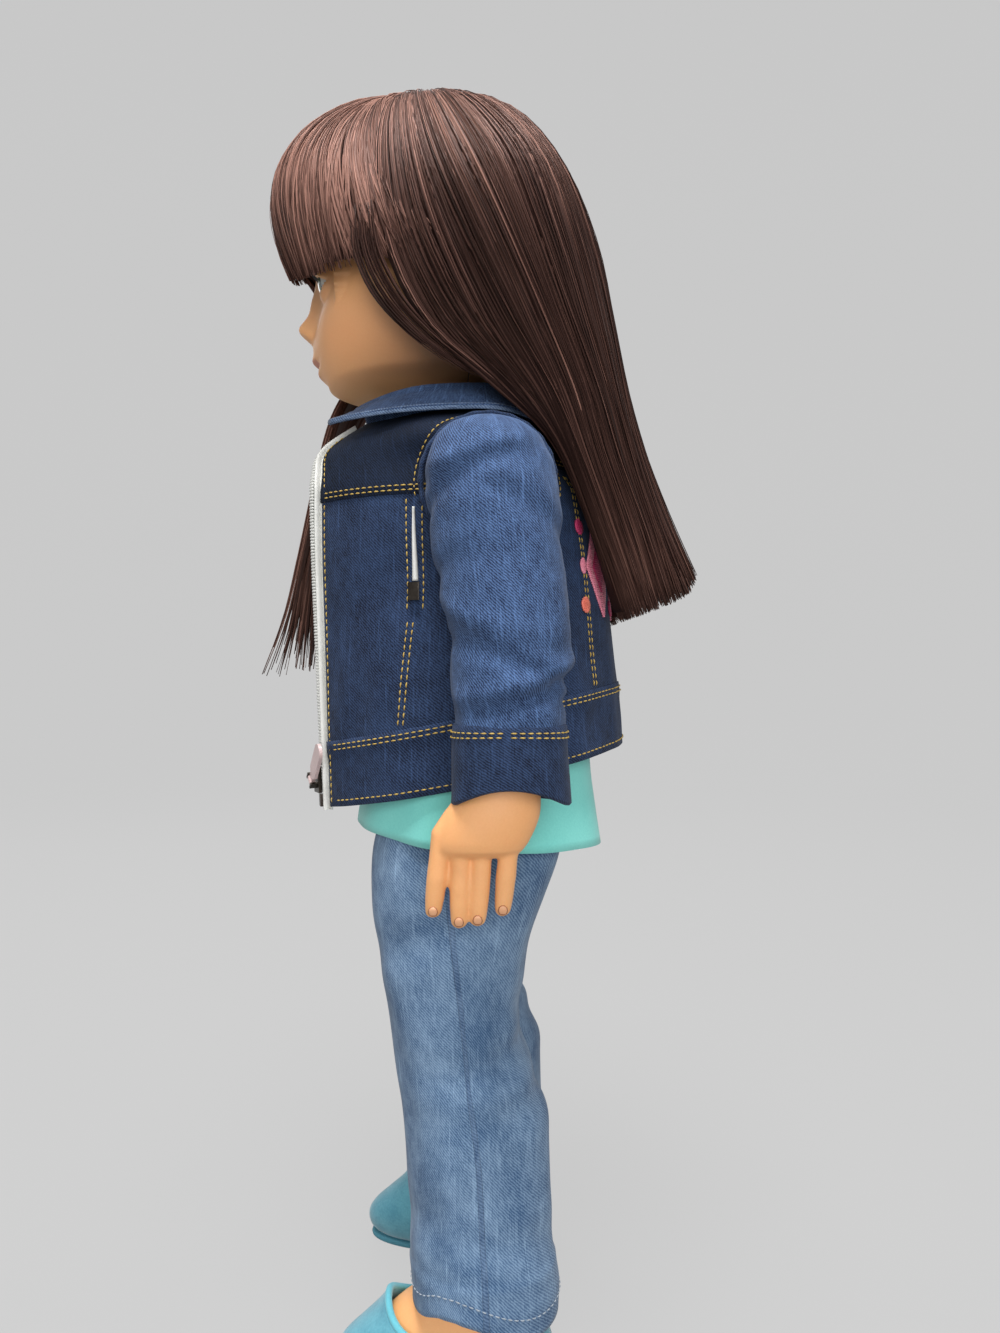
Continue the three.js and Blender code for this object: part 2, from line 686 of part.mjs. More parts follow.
const pinRadius = 0.5 * TAB_THICKNESS;
const lugs = [-1, 1].map((sign) => {
  const near = sign * (lugSpan / 2 + FIT_GAP);
  const far = sign * (lugSpan / 2 + FIT_GAP + LUG_WALL);
  const [low, high] = [Math.min(near, far), Math.max(near, far)];
  return turned(box(low, high, -barrelRadius, -hingeOut - slotHalf, -barrelRadius, barrelRadius));
});
const pinHalf = lugSpan / 2 + LUG_WALL;
const hingePin = turned(rodAlongX(pinRadius, -pinHalf, pinHalf, 0, 0, SMALL_STEPS));
const sliderBody = cut(
  box(-sliderHalf, sliderHalf, -sliderFace, sliderFace, 0, SLIDER_LENGTH),
  box(-ZIP_TEETH_WIDTH / 2 - SLIDER_GAP, REACH, -slotHalf, slotHalf, -REACH, REACH),
);
part(slider, 'zip_slider', join(sliderBody, ...lugs, hingePin), GUNMETAL, 0.35, 0.9);

const pull = pivot(slider, 0, hingeOut, SLIDER_LENGTH / 2);
pull.rotation.y = TAB_LEAN;
pull.name = 'pull_hinge';
const tabOutline = new THREE.Shape();
tabOutline.moveTo(-lugSpan / 2, 0);
tabOutline.lineTo(lugSpan / 2, 0);
tabOutline.lineTo(lugSpan / 2, 2 * barrelRadius);
tabOutline.lineTo(TAB_WIDTH / 2, 3 * barrelRadius + LUG_WALL);
tabOutline.lineTo(TAB_WIDTH / 2, TAB_LENGTH - TAB_WIDTH / 2);
tabOutline.absarc(0, TAB_LENGTH - TAB_WIDTH / 2, TAB_WIDTH / 2, 0, Math.PI, false);
tabOutline.lineTo(-TAB_WIDTH / 2, 3 * barrelRadius + LUG_WALL);
tabOutline.lineTo(-lugSpan / 2, 2 * barrelRadius);
const tabPlate = new THREE.ExtrudeGeometry(tabOutline, {
  depth: TAB_THICKNESS,
  bevelEnabled: false,
  curveSegments: SMALL_STEPS,
});
tabPlate.rotateX(Math.PI / 2);
tabPlate.translate(0, TAB_THICKNESS / 2, 0);
const tab = cut(
  join(solid(tabPlate), rodAlongX(barrelRadius, -lugSpan / 2, lugSpan / 2, 0, 0)),
  rodAlongX(pinRadius + FIT_GAP / 2, -REACH, REACH, 0, 0, SMALL_STEPS),
);
part(pull, 'zip_pull_tab', tab, TAB_METAL, 0.35, 0.6);

// Head: a hollow vinyl shell with a neck plug, eye holes and a nose
const headY = -HEAD_FORWARD;
const headHalf = HEAD_WIDTH / 2;
const headDepth = HEAD_DEPTH / 2;

function headRow(share, wide, front, back) {
  return {
    y: headY,
    z: headBase + share * HEAD_HEIGHT,
    wide: wide * headHalf,
    front: front * headDepth,
    back: back * headDepth,
  };
}

const headRows = [
  headRow(0, 0.34, 0.42, 0.26),
  headRow(0.045, 0.57, 0.84, 0.44),
  headRow(0.09, 0.74, 0.91, 0.64),
  headRow(0.19, 0.9, 0.96, 0.84),
  headRow(0.37, 0.99, 0.98, 0.98),
  headRow(0.58, 1, 1, 1),
  headRow(0.78, 0.86, 0.88, 0.9),
  headRow(0.91, 0.6, 0.62, 0.64),
  headRow(0.975, 0.31, 0.31, 0.32),
  headRow(1, 0.07, 0.07, 0.07),
];
const eyeZ = headBase + EYE_LEVEL;
const eyeX = EYE_SPACING / 2;
const eyeRow = rowAt(headRows, eyeZ);
const faceAtEye = headY - eyeRow.front * Math.sqrt(1 - (eyeX / eyeRow.wide) ** 2);
const eyeY = faceAtEye + 0.9 * EYE_RADIUS;
const eyeHole = EYE_RADIUS * 0.88;

function eyeSocket(sign) {
  const geometry = new THREE.CylinderGeometry(eyeHole, eyeHole, headDepth, LIMB_STEPS);
  geometry.translate(sign * eyeX, eyeY - headDepth / 2, eyeZ);
  return solid(geometry);
}

const noseZ = headBase + 0.31 * HEAD_HEIGHT;
const nose = ball(NOSE_LENGTH, 0, headY - rowAt(headRows, noseZ).front, noseZ, [0.8, 1.1, 1]);
const mouthZ = headBase + 0.185 * HEAD_HEIGHT;
const lipsY = headY - 0.94 * rowAt(headRows, mouthZ).front;
const lips = ball(NOSE_LENGTH, 0, lipsY, mouthZ, [1.3, 0.8, 0.7]);
const headHollow = join(
  loft(raised(grown(headRows.slice(1), -VINYL_WALL), 0, -VINYL_WALL)),
  rodAlongZ(neckPlugRadius - VINYL_WALL, neckY, neckPlugLow - FIT_GAP, headBase + 0.2 * HEAD_HEIGHT),
);
const headSolid = join(
  loft(headRows),
  nose,
  lips,
  rodAlongZ(neckPlugRadius, neckY, neckPlugLow, headBase + 0.045 * HEAD_HEIGHT),
);
const head = new THREE.Group();
doll.add(head);
const socket = EYE_RADIUS + RUN_GAP;
const headShell = cut(
  headSolid,
  headHollow,
  eyeSocket(1),
  eyeSocket(-1),
  ball(socket, eyeX, eyeY, eyeZ),
  ball(socket, -eyeX, eyeY, eyeZ),
);
part(head, 'head_shell', headShell, SKIN_TONE, 0.5);

// Sleep eyes: two balls on one axle, turned by a weight and carried by a block behind the nose
const blockHalf = 0.25 * EYE_SPACING - EYE_RADIUS / 2;
const faceBend = Math.sqrt(1 - (blockHalf / eyeRow.wide) ** 2);
const blockFront = headY - (eyeRow.front - VINYL_WALL) * faceBend + 2 * FIT_GAP;
const blockBack = eyeY + 3 * EYE_AXLE_RADIUS;
const blockHigh = EYE_RADIUS / 2;
const bracket = cut(
  box(-blockHalf, blockHalf, blockFront, blockBack, eyeZ - blockHigh, eyeZ + blockHigh),
  rodAlongX(EYE_AXLE_RADIUS + FIT_GAP, -REACH, REACH, eyeY, eyeZ, SMALL_STEPS),
);
part(head, 'eye_bracket', bracket, BRACKET, 0.6);

const eyes = pivot(head, 0, eyeY, eyeZ);
eyes.name = 'eye_pivot';
part(eyes, 'left_eye', ball(EYE_RADIUS, eyeX, 0, 0), EYE_WHITE, 0.2);
part(eyes, 'right_eye', ball(EYE_RADIUS, -eyeX, 0, 0), EYE_WHITE, 0.2);
const axleHalf = eyeX - EYE_RADIUS - FIT_GAP;
part(eyes, 'eye_axle', rodAlongX(EYE_AXLE_RADIUS, -axleHalf, axleHalf, 0, 0, SMALL_STEPS), STEEL, 0.4, 0.8);
const armLow = blockHalf + FIT_GAP;
const armHigh = axleHalf - FIT_GAP;
const armHalf = 2 * EYE_AXLE_RADIUS;
const armEnd = -EYE_WEIGHT_DROP - EYE_WEIGHT_LAP;
const weightLow = -EYE_WEIGHT_DROP - EYE_WEIGHT_HEIGHT;
const weight = cut(
  join(
    box(-armHigh, armHigh, -armHalf, EYE_WEIGHT_DEPTH - armHalf, weightLow, -EYE_WEIGHT_DROP),
    box(armLow, armHigh, -armHalf, armHalf, armEnd, armHalf),
    box(-armHigh, -armLow, -armHalf, armHalf, armEnd, armHalf),
  ),
  rodAlongX(EYE_AXLE_RADIUS + FIT_GAP, -REACH, REACH, 0, 0, SMALL_STEPS),
);
part(eyes, 'eye_weight', weight, STEEL, 0.6, 0.7);

// Wig: a cap cut into crown and fringe, with a long back and one lock in front
const hairHeight = HEAD_HEIGHT + HAIR_TOP;
const hairHalf = headHalf + HAIR_SIDE;
const hairFront = headDepth + HAIR_FRONT;
const hairBack = headDepth + HAIR_BACK;

function hairRow(share, wide, front, back) {
  return {
    y: headY,
    z: headBase + share * hairHeight,
    wide: wide * hairHalf,
    front: front * hairFront,
    back: back * hairBack,
  };
}

const hairRows = [
  hairRow(0.08, 0.95, 0.9, 1.15),
  hairRow(0.24, 1, 0.98, 1.08),
  hairRow(0.42, 1.01, 1, 1),
  hairRow(0.54, 1, 1, 0.94),
  hairRow(0.69, 0.94, 1, 0.81),
  hairRow(0.775, 0.85, 0.96, 0.7),
  hairRow(0.845, 0.73, 0.85, 0.6),
  hairRow(0.9, 0.57, 0.66, 0.48),
  hairRow(0.95, 0.39, 0.45, 0.34),
  hairRow(0.988, 0.18, 0.24, 0.19),
  hairRow(1, 0.05, 0.06, 0.06),
];
const underWig = box(-REACH, REACH, -REACH, REACH, 0, headBase + 0.09 * HEAD_HEIGHT);
const wigCap = cut(loft(hairRows), loft(grown(headRows, FIT_GAP)), underWig);
const fringeZ = headBase + FRINGE_LEVEL;
const fringeFront = headY - 0.9 * headDepth;
const fringeSide = headY + FRINGE_BACK;
const fringeLow = fringeZ - FRINGE_DROP;
const overHair = headTop + 2 * HAIR_TOP;
const fringeOutline = [
  [-REACH, fringeZ],
  [fringeFront, fringeZ],
  [fringeSide, fringeLow],
  [fringeSide + FRINGE_SLANT, overHair],
  [-REACH, overHair],
];
const crownLow = headBase + 0.11 * HEAD_HEIGHT;
const crownOutline = [
  [fringeSide + FRINGE_SLANT + FIT_GAP, overHair],
  [fringeSide + FIT_GAP, fringeLow - FIT_GAP],
  [fringeSide - TEMPLE_LENGTH, fringeLow - FIT_GAP],
  [fringeSide, crownLow],
  [REACH, crownLow],
  [REACH, overHair],
];
part(head, 'wig_fringe', wigCap.intersect(sidePrism(fringeOutline)), HAIR, 0.45);
part(head, 'wig_crown', wigCap.intersect(sidePrism(crownOutline)), HAIR, 0.45);

// The long back hair is a crescent that clears the shoulders and sweeps out at its hem
const HAIR_POINTS = 15;
const hairTopBack = headY + 1.12 * hairBack;

function crescent(drop, hem) {
  const sweep = HAIR_SWEEP * drop ** 1.4;
  const half = hairHalf * (0.95 - 0.1 * drop);
  const clear = Math.min(1, 2 * drop);
  const sideClear = Math.min(1, 2.6 * drop);
  const backLow = JACKET_CHEST_BACK + HAIR_CLEARANCE;
  const innerBack = THREE.MathUtils.lerp(headY + 0.85 * headDepth, backLow, clear);
  const sideInner = THREE.MathUtils.lerp(headY + EAR_BACK, JACKET_CHEST_BACK - HAIR_SIDE_TUCK, sideClear);
  const outerBack = hairTopBack + sweep;
  const bulge = outerBack - sideInner - HAIR_SIDE_THICKNESS;
  const outer = [];
  const inner = [];
  for (let point = 0; point < HAIR_POINTS; point += 1) {
    const across = 1 - (2 * point) / (HAIR_POINTS - 1);
    const ripple = HAIR_RIPPLE * drop * Math.cos(HAIR_LOCKS * Math.PI * across);
    const innerY = innerBack - (innerBack - sideInner) * across ** 2;
    const outerY = outerBack + ripple - bulge * across ** 2;
    const z = crownLow - FIT_GAP - drop * HAIR_LENGTH;
    outer.push(new THREE.Vector3(half * across, outerY, z + hem * (outerY - innerY)));
    inner.unshift(new THREE.Vector3(half * across, innerY, z));
  }
  return [...outer, ...inner];
}

const drops = [0, 0.15, 0.32, 0.5, 0.72, 1];
const backHair = skin(drops.map((drop) => crescent(drop, drop === 1 ? 0.45 : 0)), { strip: true });
part(head, 'wig_back_length', backHair, HAIR, 0.45);

const lockStart = 0.54;
const lockBack = FRONT_LOCK_DEPTH / 2 - lockStart * FRONT_LOCK_REACH;
const fringeShare = (lockBack - fringeFront) / (fringeSide - fringeFront);
const lockTop = fringeZ - FRINGE_DROP * fringeShare - FIT_GAP;

function lockRow(share, out, reach, wide, deep) {
  return {
    x: -out * FRONT_LOCK_OUT,
    y: -reach * FRONT_LOCK_REACH,
    z: lockTop - share * FRONT_LOCK_LENGTH,
    wide: (wide * FRONT_LOCK_WIDTH) / 2,
    front: (deep * FRONT_LOCK_DEPTH) / 2,
  };
}

const lockRows = [
  lockRow(1, 0.73, 1, 0.67, 0.5),
  lockRow(0.73, 0.8, 0.89, 1, 0.62),
  lockRow(0.49, 0.89, 0.81, 1, 0.62),
  lockRow(0.29, 0.98, 0.73, 0.75, 0.75),
  lockRow(0.13, 1, 0.6, 0.42, 1),
  lockRow(0, 0.98, lockStart, 0.33, 1),
];
part(head, 'wig_front_lock', loft(lockRows, SLEEVE_STEPS), HAIR, 0.45);

// Collar: a stand round the neck and a leaf folded over it
const neckRow = jacketRows.at(-1);
const collarProfile = [
  [FIT_GAP, 0],
  [COLLAR_STAND, 0],
  [COLLAR_STAND - COLLAR_DROP, COLLAR_SPREAD],
  [COLLAR_STAND - COLLAR_DROP - COLLAR_WALL / 2, COLLAR_SPREAD - COLLAR_WALL],
  [COLLAR_STAND - 1.5 * COLLAR_WALL, COLLAR_WALL],
];
const collarRings = collarProfile.map(([up, out]) => {
  const row = { ...grown([neckRow], out)[0], z: neckEdge + up };
  return ring(row, BODY_STEPS);
});
part(doll, 'jacket_collar', cut(skin(collarRings, { loop: true }), opening(0)), DARK_DENIM);

// Arms: vinyl, flattened where they lie against the jacket, in sleeves with turned-up cuffs
const sideSlope = (JACKET_HEM_WIDTH - JACKET_CHEST_WIDTH) / 2 / (chestLine - jacketLow);

// the inner side clears the jacket's side wherever the swing brings it
function sleeveSide(z) {
  return JACKET_CHEST_WIDTH / 2 + RUN_GAP - shoulderX - Math.min(z, -SLEEVE_RADIUS) * sideSlope;
}

function armRow(share, spread, back, wide, deep) {
  const z = -share * ARM_LENGTH;
  const leastX = sleeveSide(z) + DENIM + FIT_GAP;
  return { x: spread * WRIST_SPREAD, y: back * WRIST_BACK, z, wide, front: deep, leastX };
}

const handHalf = HAND_WIDTH / 2;
const armRows = [
  armRow(0.928, 1.09, -0.38, 0.4 * handHalf, 0.8 * handHalf),
  armRow(0.9, 1.09, -0.38, 0.5 * handHalf, 0.93 * handHalf),
  armRow(0.849, 1.09, 0.15, 0.57 * handHalf, handHalf),
  armRow(0.777, 1.04, 0.77, 0.57 * handHalf, 0.9 * handHalf),
  armRow(0.7, 1, 1, WRIST_RADIUS, 1.1 * WRIST_RADIUS),
  armRow(0.59, 0.91, 0.92, 0.74 * ARM_RADIUS, 0.8 * ARM_RADIUS),
  armRow(0.446, 0.78, 0.7, 0.77 * ARM_RADIUS, 0.84 * ARM_RADIUS),
  armRow(0.288, 0.57, 0.46, 0.8 * ARM_RADIUS, 0.87 * ARM_RADIUS),
  armRow(0.112, 0.3, 0.15, 0.87 * ARM_RADIUS, 0.93 * ARM_RADIUS),
  armRow(0, 0, 0, 0.97 * ARM_RADIUS, 0.97 * ARM_RADIUS),
];
const palm = armRows[1];
const fingers = [0, 1, 2, 3].map((place) => {
  const y = palm.y + (place - 1.5) * (2 * FINGER_RADIUS + FIT_GAP);
  const tip = -ARM_LENGTH + FINGER_RADIUS + (place % 3 === 0 ? FINGER_RADIUS : 0);
  const knuckle = new THREE.Vector3(palm.x, y, palm.z);
  return finger(FINGER_RADIUS, knuckle, new THREE.Vector3(palm.x, y, tip));
});
const thumb = finger(
  FINGER_RADIUS,
  new THREE.Vector3(palm.x - handHalf * 0.4, armRows[3].y - handHalf * 0.6, armRows[3].z),
  new THREE.Vector3(palm.x - handHalf * 0.6, palm.y - handHalf * 0.85, palm.z),
);
const armRoot = rodAlongX(0.97 * ARM_RADIUS, chestHalf + RUN_GAP - shoulderX, 0, 0, 0);
const armShape = cut(
  join(loft(armRows, LIMB_STEPS), ball(ARM_RADIUS, 0, 0, 0), armRoot, ...fingers, thumb),
  stringing(),
);

function sleeveRow(z, spread, back, wide, deep) {
  const leastX = sleeveSide(z);
  return { x: spread * WRIST_SPREAD, y: back * WRIST_BACK, z, wide, front: deep, leastX };
}

const cuffTop = CUFF_HEIGHT - SLEEVE_LENGTH;
const elbow = 0.62 * cuffTop;
const sleeveRows = [
  sleeveRow(cuffTop, 0.95, 1.08, 0.95 * CUFF_RADIUS, CUFF_RADIUS),
  sleeveRow(0.88 * cuffTop, 0.9, 1.08, 0.97 * CUFF_RADIUS, 1.03 * CUFF_RADIUS),
  sleeveRow(elbow - ELBOW_FOLD, 0.8, 1.08, 0.88 * SLEEVE_RADIUS, 0.92 * SLEEVE_RADIUS),
  sleeveRow(elbow, 0.74, 1, 0.92 * SLEEVE_RADIUS, 0.97 * SLEEVE_RADIUS),
  sleeveRow(elbow + ELBOW_FOLD, 0.68, 0.9, 0.86 * SLEEVE_RADIUS, 0.92 * SLEEVE_RADIUS),
  sleeveRow(0.3 * cuffTop, 0.4, 0.5, 0.92 * SLEEVE_RADIUS, 1.02 * SLEEVE_RADIUS),
  sleeveRow(0, 0.1, 0.15, 0.98 * SLEEVE_RADIUS, 1.02 * SLEEVE_RADIUS),
  sleeveRow(0.46 * SLEEVE_RADIUS, 0, 0.05, 0.84 * SLEEVE_RADIUS, 0.9 * SLEEVE_RADIUS),
  sleeveRow(0.8 * SLEEVE_RADIUS, -0.1, 0, 0.5 * SLEEVE_RADIUS, 0.6 * SLEEVE_RADIUS),
  sleeveRow(0.95 * SLEEVE_RADIUS, -0.1, 0, 0.14 * SLEEVE_RADIUS, 0.2 * SLEEVE_RADIUS),
];
const sleeveHollow = raised(grown(sleeveRows, -DENIM), -DENIM, -DENIM);
const sleeveShape = cut(
  loft(sleeveRows, SLEEVE_STEPS),
  loft(sleeveHollow, SLEEVE_STEPS),
  rodAlongX(armholeRadius, -REACH, 0, 0, 0),
);
const cuffRows = [
  sleeveRow(-SLEEVE_LENGTH, 1, 1.1, 0.97 * CUFF_RADIUS, CUFF_RADIUS),
  sleeveRow(cuffTop - FIT_GAP, 0.95, 1.08, 0.97 * CUFF_RADIUS, CUFF_RADIUS),
];
const cuffShape = shell(cuffRows, -CUFF_WALL, 0);

// Legs: one loft from foot to hip, under a ball that turns against the torso
function legRow(z, wide, front, back) {
  return { x: footOut * (-z / HIP_HEIGHT), z, wide, front, back };
}

const ankleHalf = ANKLE_WIDTH / 2;
const footHalf = FOOT_WIDTH / 2;
const footLow = SOLE_THICKNESS + FIT_GAP - HIP_HEIGHT;
const kneeZ = -0.43 * HIP_HEIGHT;
const footRow = (share, wide, front, back) => legRow(
  footLow + share * INSTEP_HEIGHT,
  wide * footHalf,
  front * FOOT_LENGTH,
  back * FOOT_LENGTH,
);
const footRows = [
  footRow(0, 0.86, 0.53, 0.35),
  footRow(0.22, 1, 0.59, 0.4),
  footRow(0.46, 0.97, 0.52, 0.37),
  footRow(0.7, 0.86, 0.37, 0.33),
];
const legRows = [
  ...footRows,
  footRow(0.95, 0.8, 0.18, 0.27),
  legRow(footLow + 1.1 * INSTEP_HEIGHT, ankleHalf, 0.68 * ankleHalf, 1.42 * ankleHalf),
  legRow(kneeZ + 0.36 * (footLow - kneeZ), 1.25 * ankleHalf, 0.9 * ankleHalf, 1.65 * ankleHalf),
  legRow(kneeZ, 0.7 * THIGH_RADIUS, 0.7 * THIGH_RADIUS, 0.8 * THIGH_RADIUS),
  legRow(0.6 * kneeZ, 0.83 * THIGH_RADIUS, 0.89 * THIGH_RADIUS, 0.74 * THIGH_RADIUS),
  legRow(0.25 * kneeZ, 0.93 * THIGH_RADIUS, 1.08 * THIGH_RADIUS, 0.83 * THIGH_RADIUS),
  legRow(0, 0.99 * THIGH_RADIUS, 0.99 * THIGH_RADIUS, 0.99 * THIGH_RADIUS),
];
const crotchSide = crotchHalf + seatOuter + RUN_GAP - hipX;
const crotchClear = rodAlongX(2 * THIGH_RADIUS, -REACH, crotchSide, 0, 0, BODY_STEPS);
const legShape = cut(
  join(loft(legRows, LIMB_STEPS), ball(THIGH_RADIUS, 0, 0, 0)),
  crotchClear,
  stringing(),
);

const hemZ = JEANS_HEM_HEIGHT - HIP_HEIGHT;
const hemHalf = JEANS_HEM_WIDTH / 2;
const jeansRows = [
  {
    ...legRow(hemZ, hemHalf, 0.35 * JEANS_HEM_DEPTH, 0.65 * JEANS_HEM_DEPTH),
    folds: JEANS_FOLDS,
    depth: JEANS_FOLD_DEPTH,
  },
  {
    ...legRow(0.5 * (hemZ + kneeZ), 0.94 * hemHalf, 0.4 * JEANS_HEM_DEPTH, 0.6 * JEANS_HEM_DEPTH),
    folds: JEANS_FOLDS,
    depth: 0.75 * JEANS_FOLD_DEPTH,
  },
  legRow(kneeZ, 0.92 * hemHalf, 0.46 * JEANS_HEM_DEPTH, 0.55 * JEANS_HEM_DEPTH),
  legRow(0.62 * kneeZ, 0.94 * hemHalf, 0.55 * JEANS_KNEE_DEPTH, 0.46 * JEANS_KNEE_DEPTH),
  legRow(0.25 * kneeZ, 0.96 * thighCloth, 1.1 * thighCloth, 0.86 * thighCloth),
  legRow(0, 0.99 * thighCloth, 0.99 * thighCloth, 0.99 * thighCloth),
];
const jeansHollow = join(
  loft(raised(grown(jeansRows, -DENIM), -DENIM, 0), LIMB_STEPS),
  ball(THIGH_RADIUS + FIT_GAP, 0, 0, 0),
);
const jeansSolid = join(loft(jeansRows, LIMB_STEPS), ball(thighCloth, 0, 0, 0));
const jeansShape = cut(jeansSolid, jeansHollow, crotchClear);

const shoeLow = SOLE_THICKNESS + FIT_GAP / 2 - HIP_HEIGHT;
const shoeRows = [
  { ...footRows[0], z: shoeLow },
  footRows[1],
  { ...footRows[2], front: 0.55 * FOOT_LENGTH },
  { ...footRows[3], front: 0.46 * FOOT_LENGTH },
  { ...footRow(0.9, 0.94, 0.34, 0.32), z: SHOE_HEIGHT - HIP_HEIGHT },
];
const shoeShape = shell(shoeRows, FIT_GAP, FIT_GAP + SHOE_WALL, LIMB_STEPS);
const soleRow = grown([footRows[1]], FIT_GAP + SHOE_WALL)[0];
const soleRows = [-HIP_HEIGHT, SOLE_THICKNESS - HIP_HEIGHT].map((z) => ({ ...soleRow, z }));
const soleShape = loft(soleRows, LIMB_STEPS);

for (const [side, sign] of [['left', 1], ['right', -1]]) {
  const half = new THREE.Group();
  half.scale.x = sign;
  doll.add(half);
  const arm = pivot(half, shoulderX, SHOULDER_BACK, SHOULDER_HEIGHT);
  arm.name = `${side}_shoulder`;
  part(arm, `${side}_arm`, armShape, SKIN_TONE, 0.5);
  part(arm, `${side}_arm_washer`, washer(), STEEL, 0.4, 0.6);
  part(arm, `${side}_sleeve`, sleeveShape, DARK_DENIM);
  part(arm, `${side}_cuff`, cuffShape, DARK_DENIM);
  const leg = pivot(half, hipX, hipY, HIP_HEIGHT);
  leg.name = `${side}_hip`;
  part(leg, `${side}_leg`, legShape, SKIN_TONE, 0.5);
  part(leg, `${side}_leg_washer`, washer(), STEEL, 0.4, 0.6);
  part(leg, `${side}_jeans_leg`, jeansShape, PALE_DENIM);
  part(leg, `${side}_shoe_upper`, shoeShape, SUEDE, 0.9);
  part(leg, `${side}_shoe_sole`, soleShape, SOLE, 0.8);
}

// The origin is on the floor, under the middle of the whole doll
const extent = new THREE.Box3().setFromObject(doll, true);
const middle = extent.getCenter(new THREE.Vector3());
doll.position.set(-middle.x, -middle.y, -extent.min.z);

export default doll;
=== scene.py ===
import json
import random
from math import acos, asin, atan2, copysign, cos, exp, hypot, pi, radians, sin, sqrt

import bpy
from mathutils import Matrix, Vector, noise


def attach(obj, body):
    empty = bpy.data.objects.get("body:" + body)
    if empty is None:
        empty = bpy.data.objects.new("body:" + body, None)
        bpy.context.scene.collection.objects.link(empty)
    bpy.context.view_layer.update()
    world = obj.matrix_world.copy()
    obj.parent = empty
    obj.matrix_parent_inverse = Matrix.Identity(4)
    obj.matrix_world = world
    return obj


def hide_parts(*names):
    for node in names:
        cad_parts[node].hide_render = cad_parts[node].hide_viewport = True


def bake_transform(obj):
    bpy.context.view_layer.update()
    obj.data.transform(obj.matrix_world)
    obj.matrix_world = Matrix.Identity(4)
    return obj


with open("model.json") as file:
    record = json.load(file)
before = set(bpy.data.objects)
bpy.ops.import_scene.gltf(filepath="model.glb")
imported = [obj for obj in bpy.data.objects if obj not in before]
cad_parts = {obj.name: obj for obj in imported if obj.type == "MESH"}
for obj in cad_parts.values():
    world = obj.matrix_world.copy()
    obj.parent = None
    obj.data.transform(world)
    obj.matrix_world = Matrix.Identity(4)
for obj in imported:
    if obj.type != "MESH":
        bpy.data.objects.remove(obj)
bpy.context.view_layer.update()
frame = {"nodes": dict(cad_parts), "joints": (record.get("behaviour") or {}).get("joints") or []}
nodes = frame["nodes"]
jointAt = {joint["name"]: Vector(joint.get("pos_m", (0, 0, 0))) for joint in frame["joints"]}
draw = random.Random(11)
mm = 0.001
fullTurn = 2 * pi
bothSides = (("left", False), ("right", True))
bothEnds = (True, True)
alongX, alongY, upward = Vector((1, 0, 0)), Vector((0, 1, 0)), Vector((0, 0, 1))

# The doll is laid out in millimetres about its torso's own axis, as its pattern is
shoulder = {"x": 59, "y": 4, "z": 302}
shiftY = jointAt["left_shoulder"].y / mm - shoulder["y"]


def at(x, y, z):
    return Vector((x, y + shiftY, z)) * mm


print("frame loaded,", len(nodes), "nodes")


# Small maths

def mix(low, high, share):
    return low + (high - low) * share


def ease(low, high, value):
    share = min(max((value - low) / (high - low), 0), 1)
    return share * share * (3 - 2 * share)


def hump(value, middle, spread):
    return exp(-((value - middle) / spread) ** 2)


def turns(count):
    return [fullTurn * k / count for k in range(count)]


def glide(values, share):
    # a smooth run through evenly spaced values
    place = min(max(share, 0), 1) * (len(values) - 1)
    step = min(int(place), len(values) - 2)
    before, low, high, after = (values[min(max(step + k, 0), len(values) - 1)] for k in (-1, 0, 1, 2))
    share = place - step
    return 0.5 * (
        2 * low
        + (high - before) * share
        + (2 * before - 5 * low + 4 * high - after) * share ** 2
        + (3 * low - before - 3 * high + after) * share ** 3
    )


def rowAt(rows, height):
    # rows are (height, size, size, ...) rising in height
    last = len(rows) - 2
    step = next((k for k in range(last + 1) if height <= rows[k + 1][0]), last)
    low, high = rows[step], rows[step + 1]
    before = rows[max(step - 1, 0)]
    after = rows[min(step + 2, len(rows) - 1)]
    span = high[0] - low[0]
    share = min(max((height - low[0]) / span, 0), 1)
    sizes = []
    for k in range(1, len(low)):
        slopeLow = (high[k] - before[k]) / (high[0] - before[0]) * span
        slopeHigh = (after[k] - low[k]) / (after[0] - low[0]) * span
        rise = high[k] - low[k]
        cubic = slopeLow + slopeHigh - 2 * rise
        square = 3 * rise - 2 * slopeLow - slopeHigh
        sizes.append(low[k] + slopeLow * share + square * share ** 2 + cubic * share ** 3)
    return sizes


def ovalPoint(sizes, angle, z, out=0.0, square=1.0):
    # sizes are centre across, centre back, half width, front and back; angle 0 is the front
    x, y, wide, front, back = sizes
    across = copysign(abs(sin(angle)) ** square, sin(angle))
    along = copysign(abs(cos(angle)) ** square, cos(angle))
    reach = front if along > 0 else back
    return at(x + (wide + out) * across, y - (reach + out) * along, z)


def ripple(point, size, seed=0.0):
    # soft noise of about one unit over a length, in millimetres
    return noise.noise(Vector((point[0] / size, point[1] / size, point[2] / size + seed)))


# Meshes


def show(thing):
    bpy.context.scene.collection.objects.link(thing)
    return thing


def newPiece(name, vertices, faces, material=None):
    mesh = bpy.data.meshes.new(name)
    mesh.from_pydata([tuple(v) for v in vertices], [], faces)
    mesh.validate()
    mesh.shade_smooth()
    if material:
        mesh.materials.append(material)
    return show(bpy.data.objects.new(name, mesh))


def floatLayer(piece, name, values):
    layer = piece.data.attributes.new(name, "FLOAT", "POINT")
    layer.data.foreach_set("value", values)


def fit(piece, slot, body, *solids):
    # the piece takes the place of the solids, and moves with its body
    if solids:
        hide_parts(*solids)
    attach(piece, body)
    return piece


def runLengths(points, closed):
    lengths = [0.0]
    for k in range(1, len(points)):
        lengths.append(lengths[-1] + (points[k] - points[k - 1]).length)
    if closed:
        lengths.append(lengths[-1] + (points[0] - points[-1]).length)
    return lengths


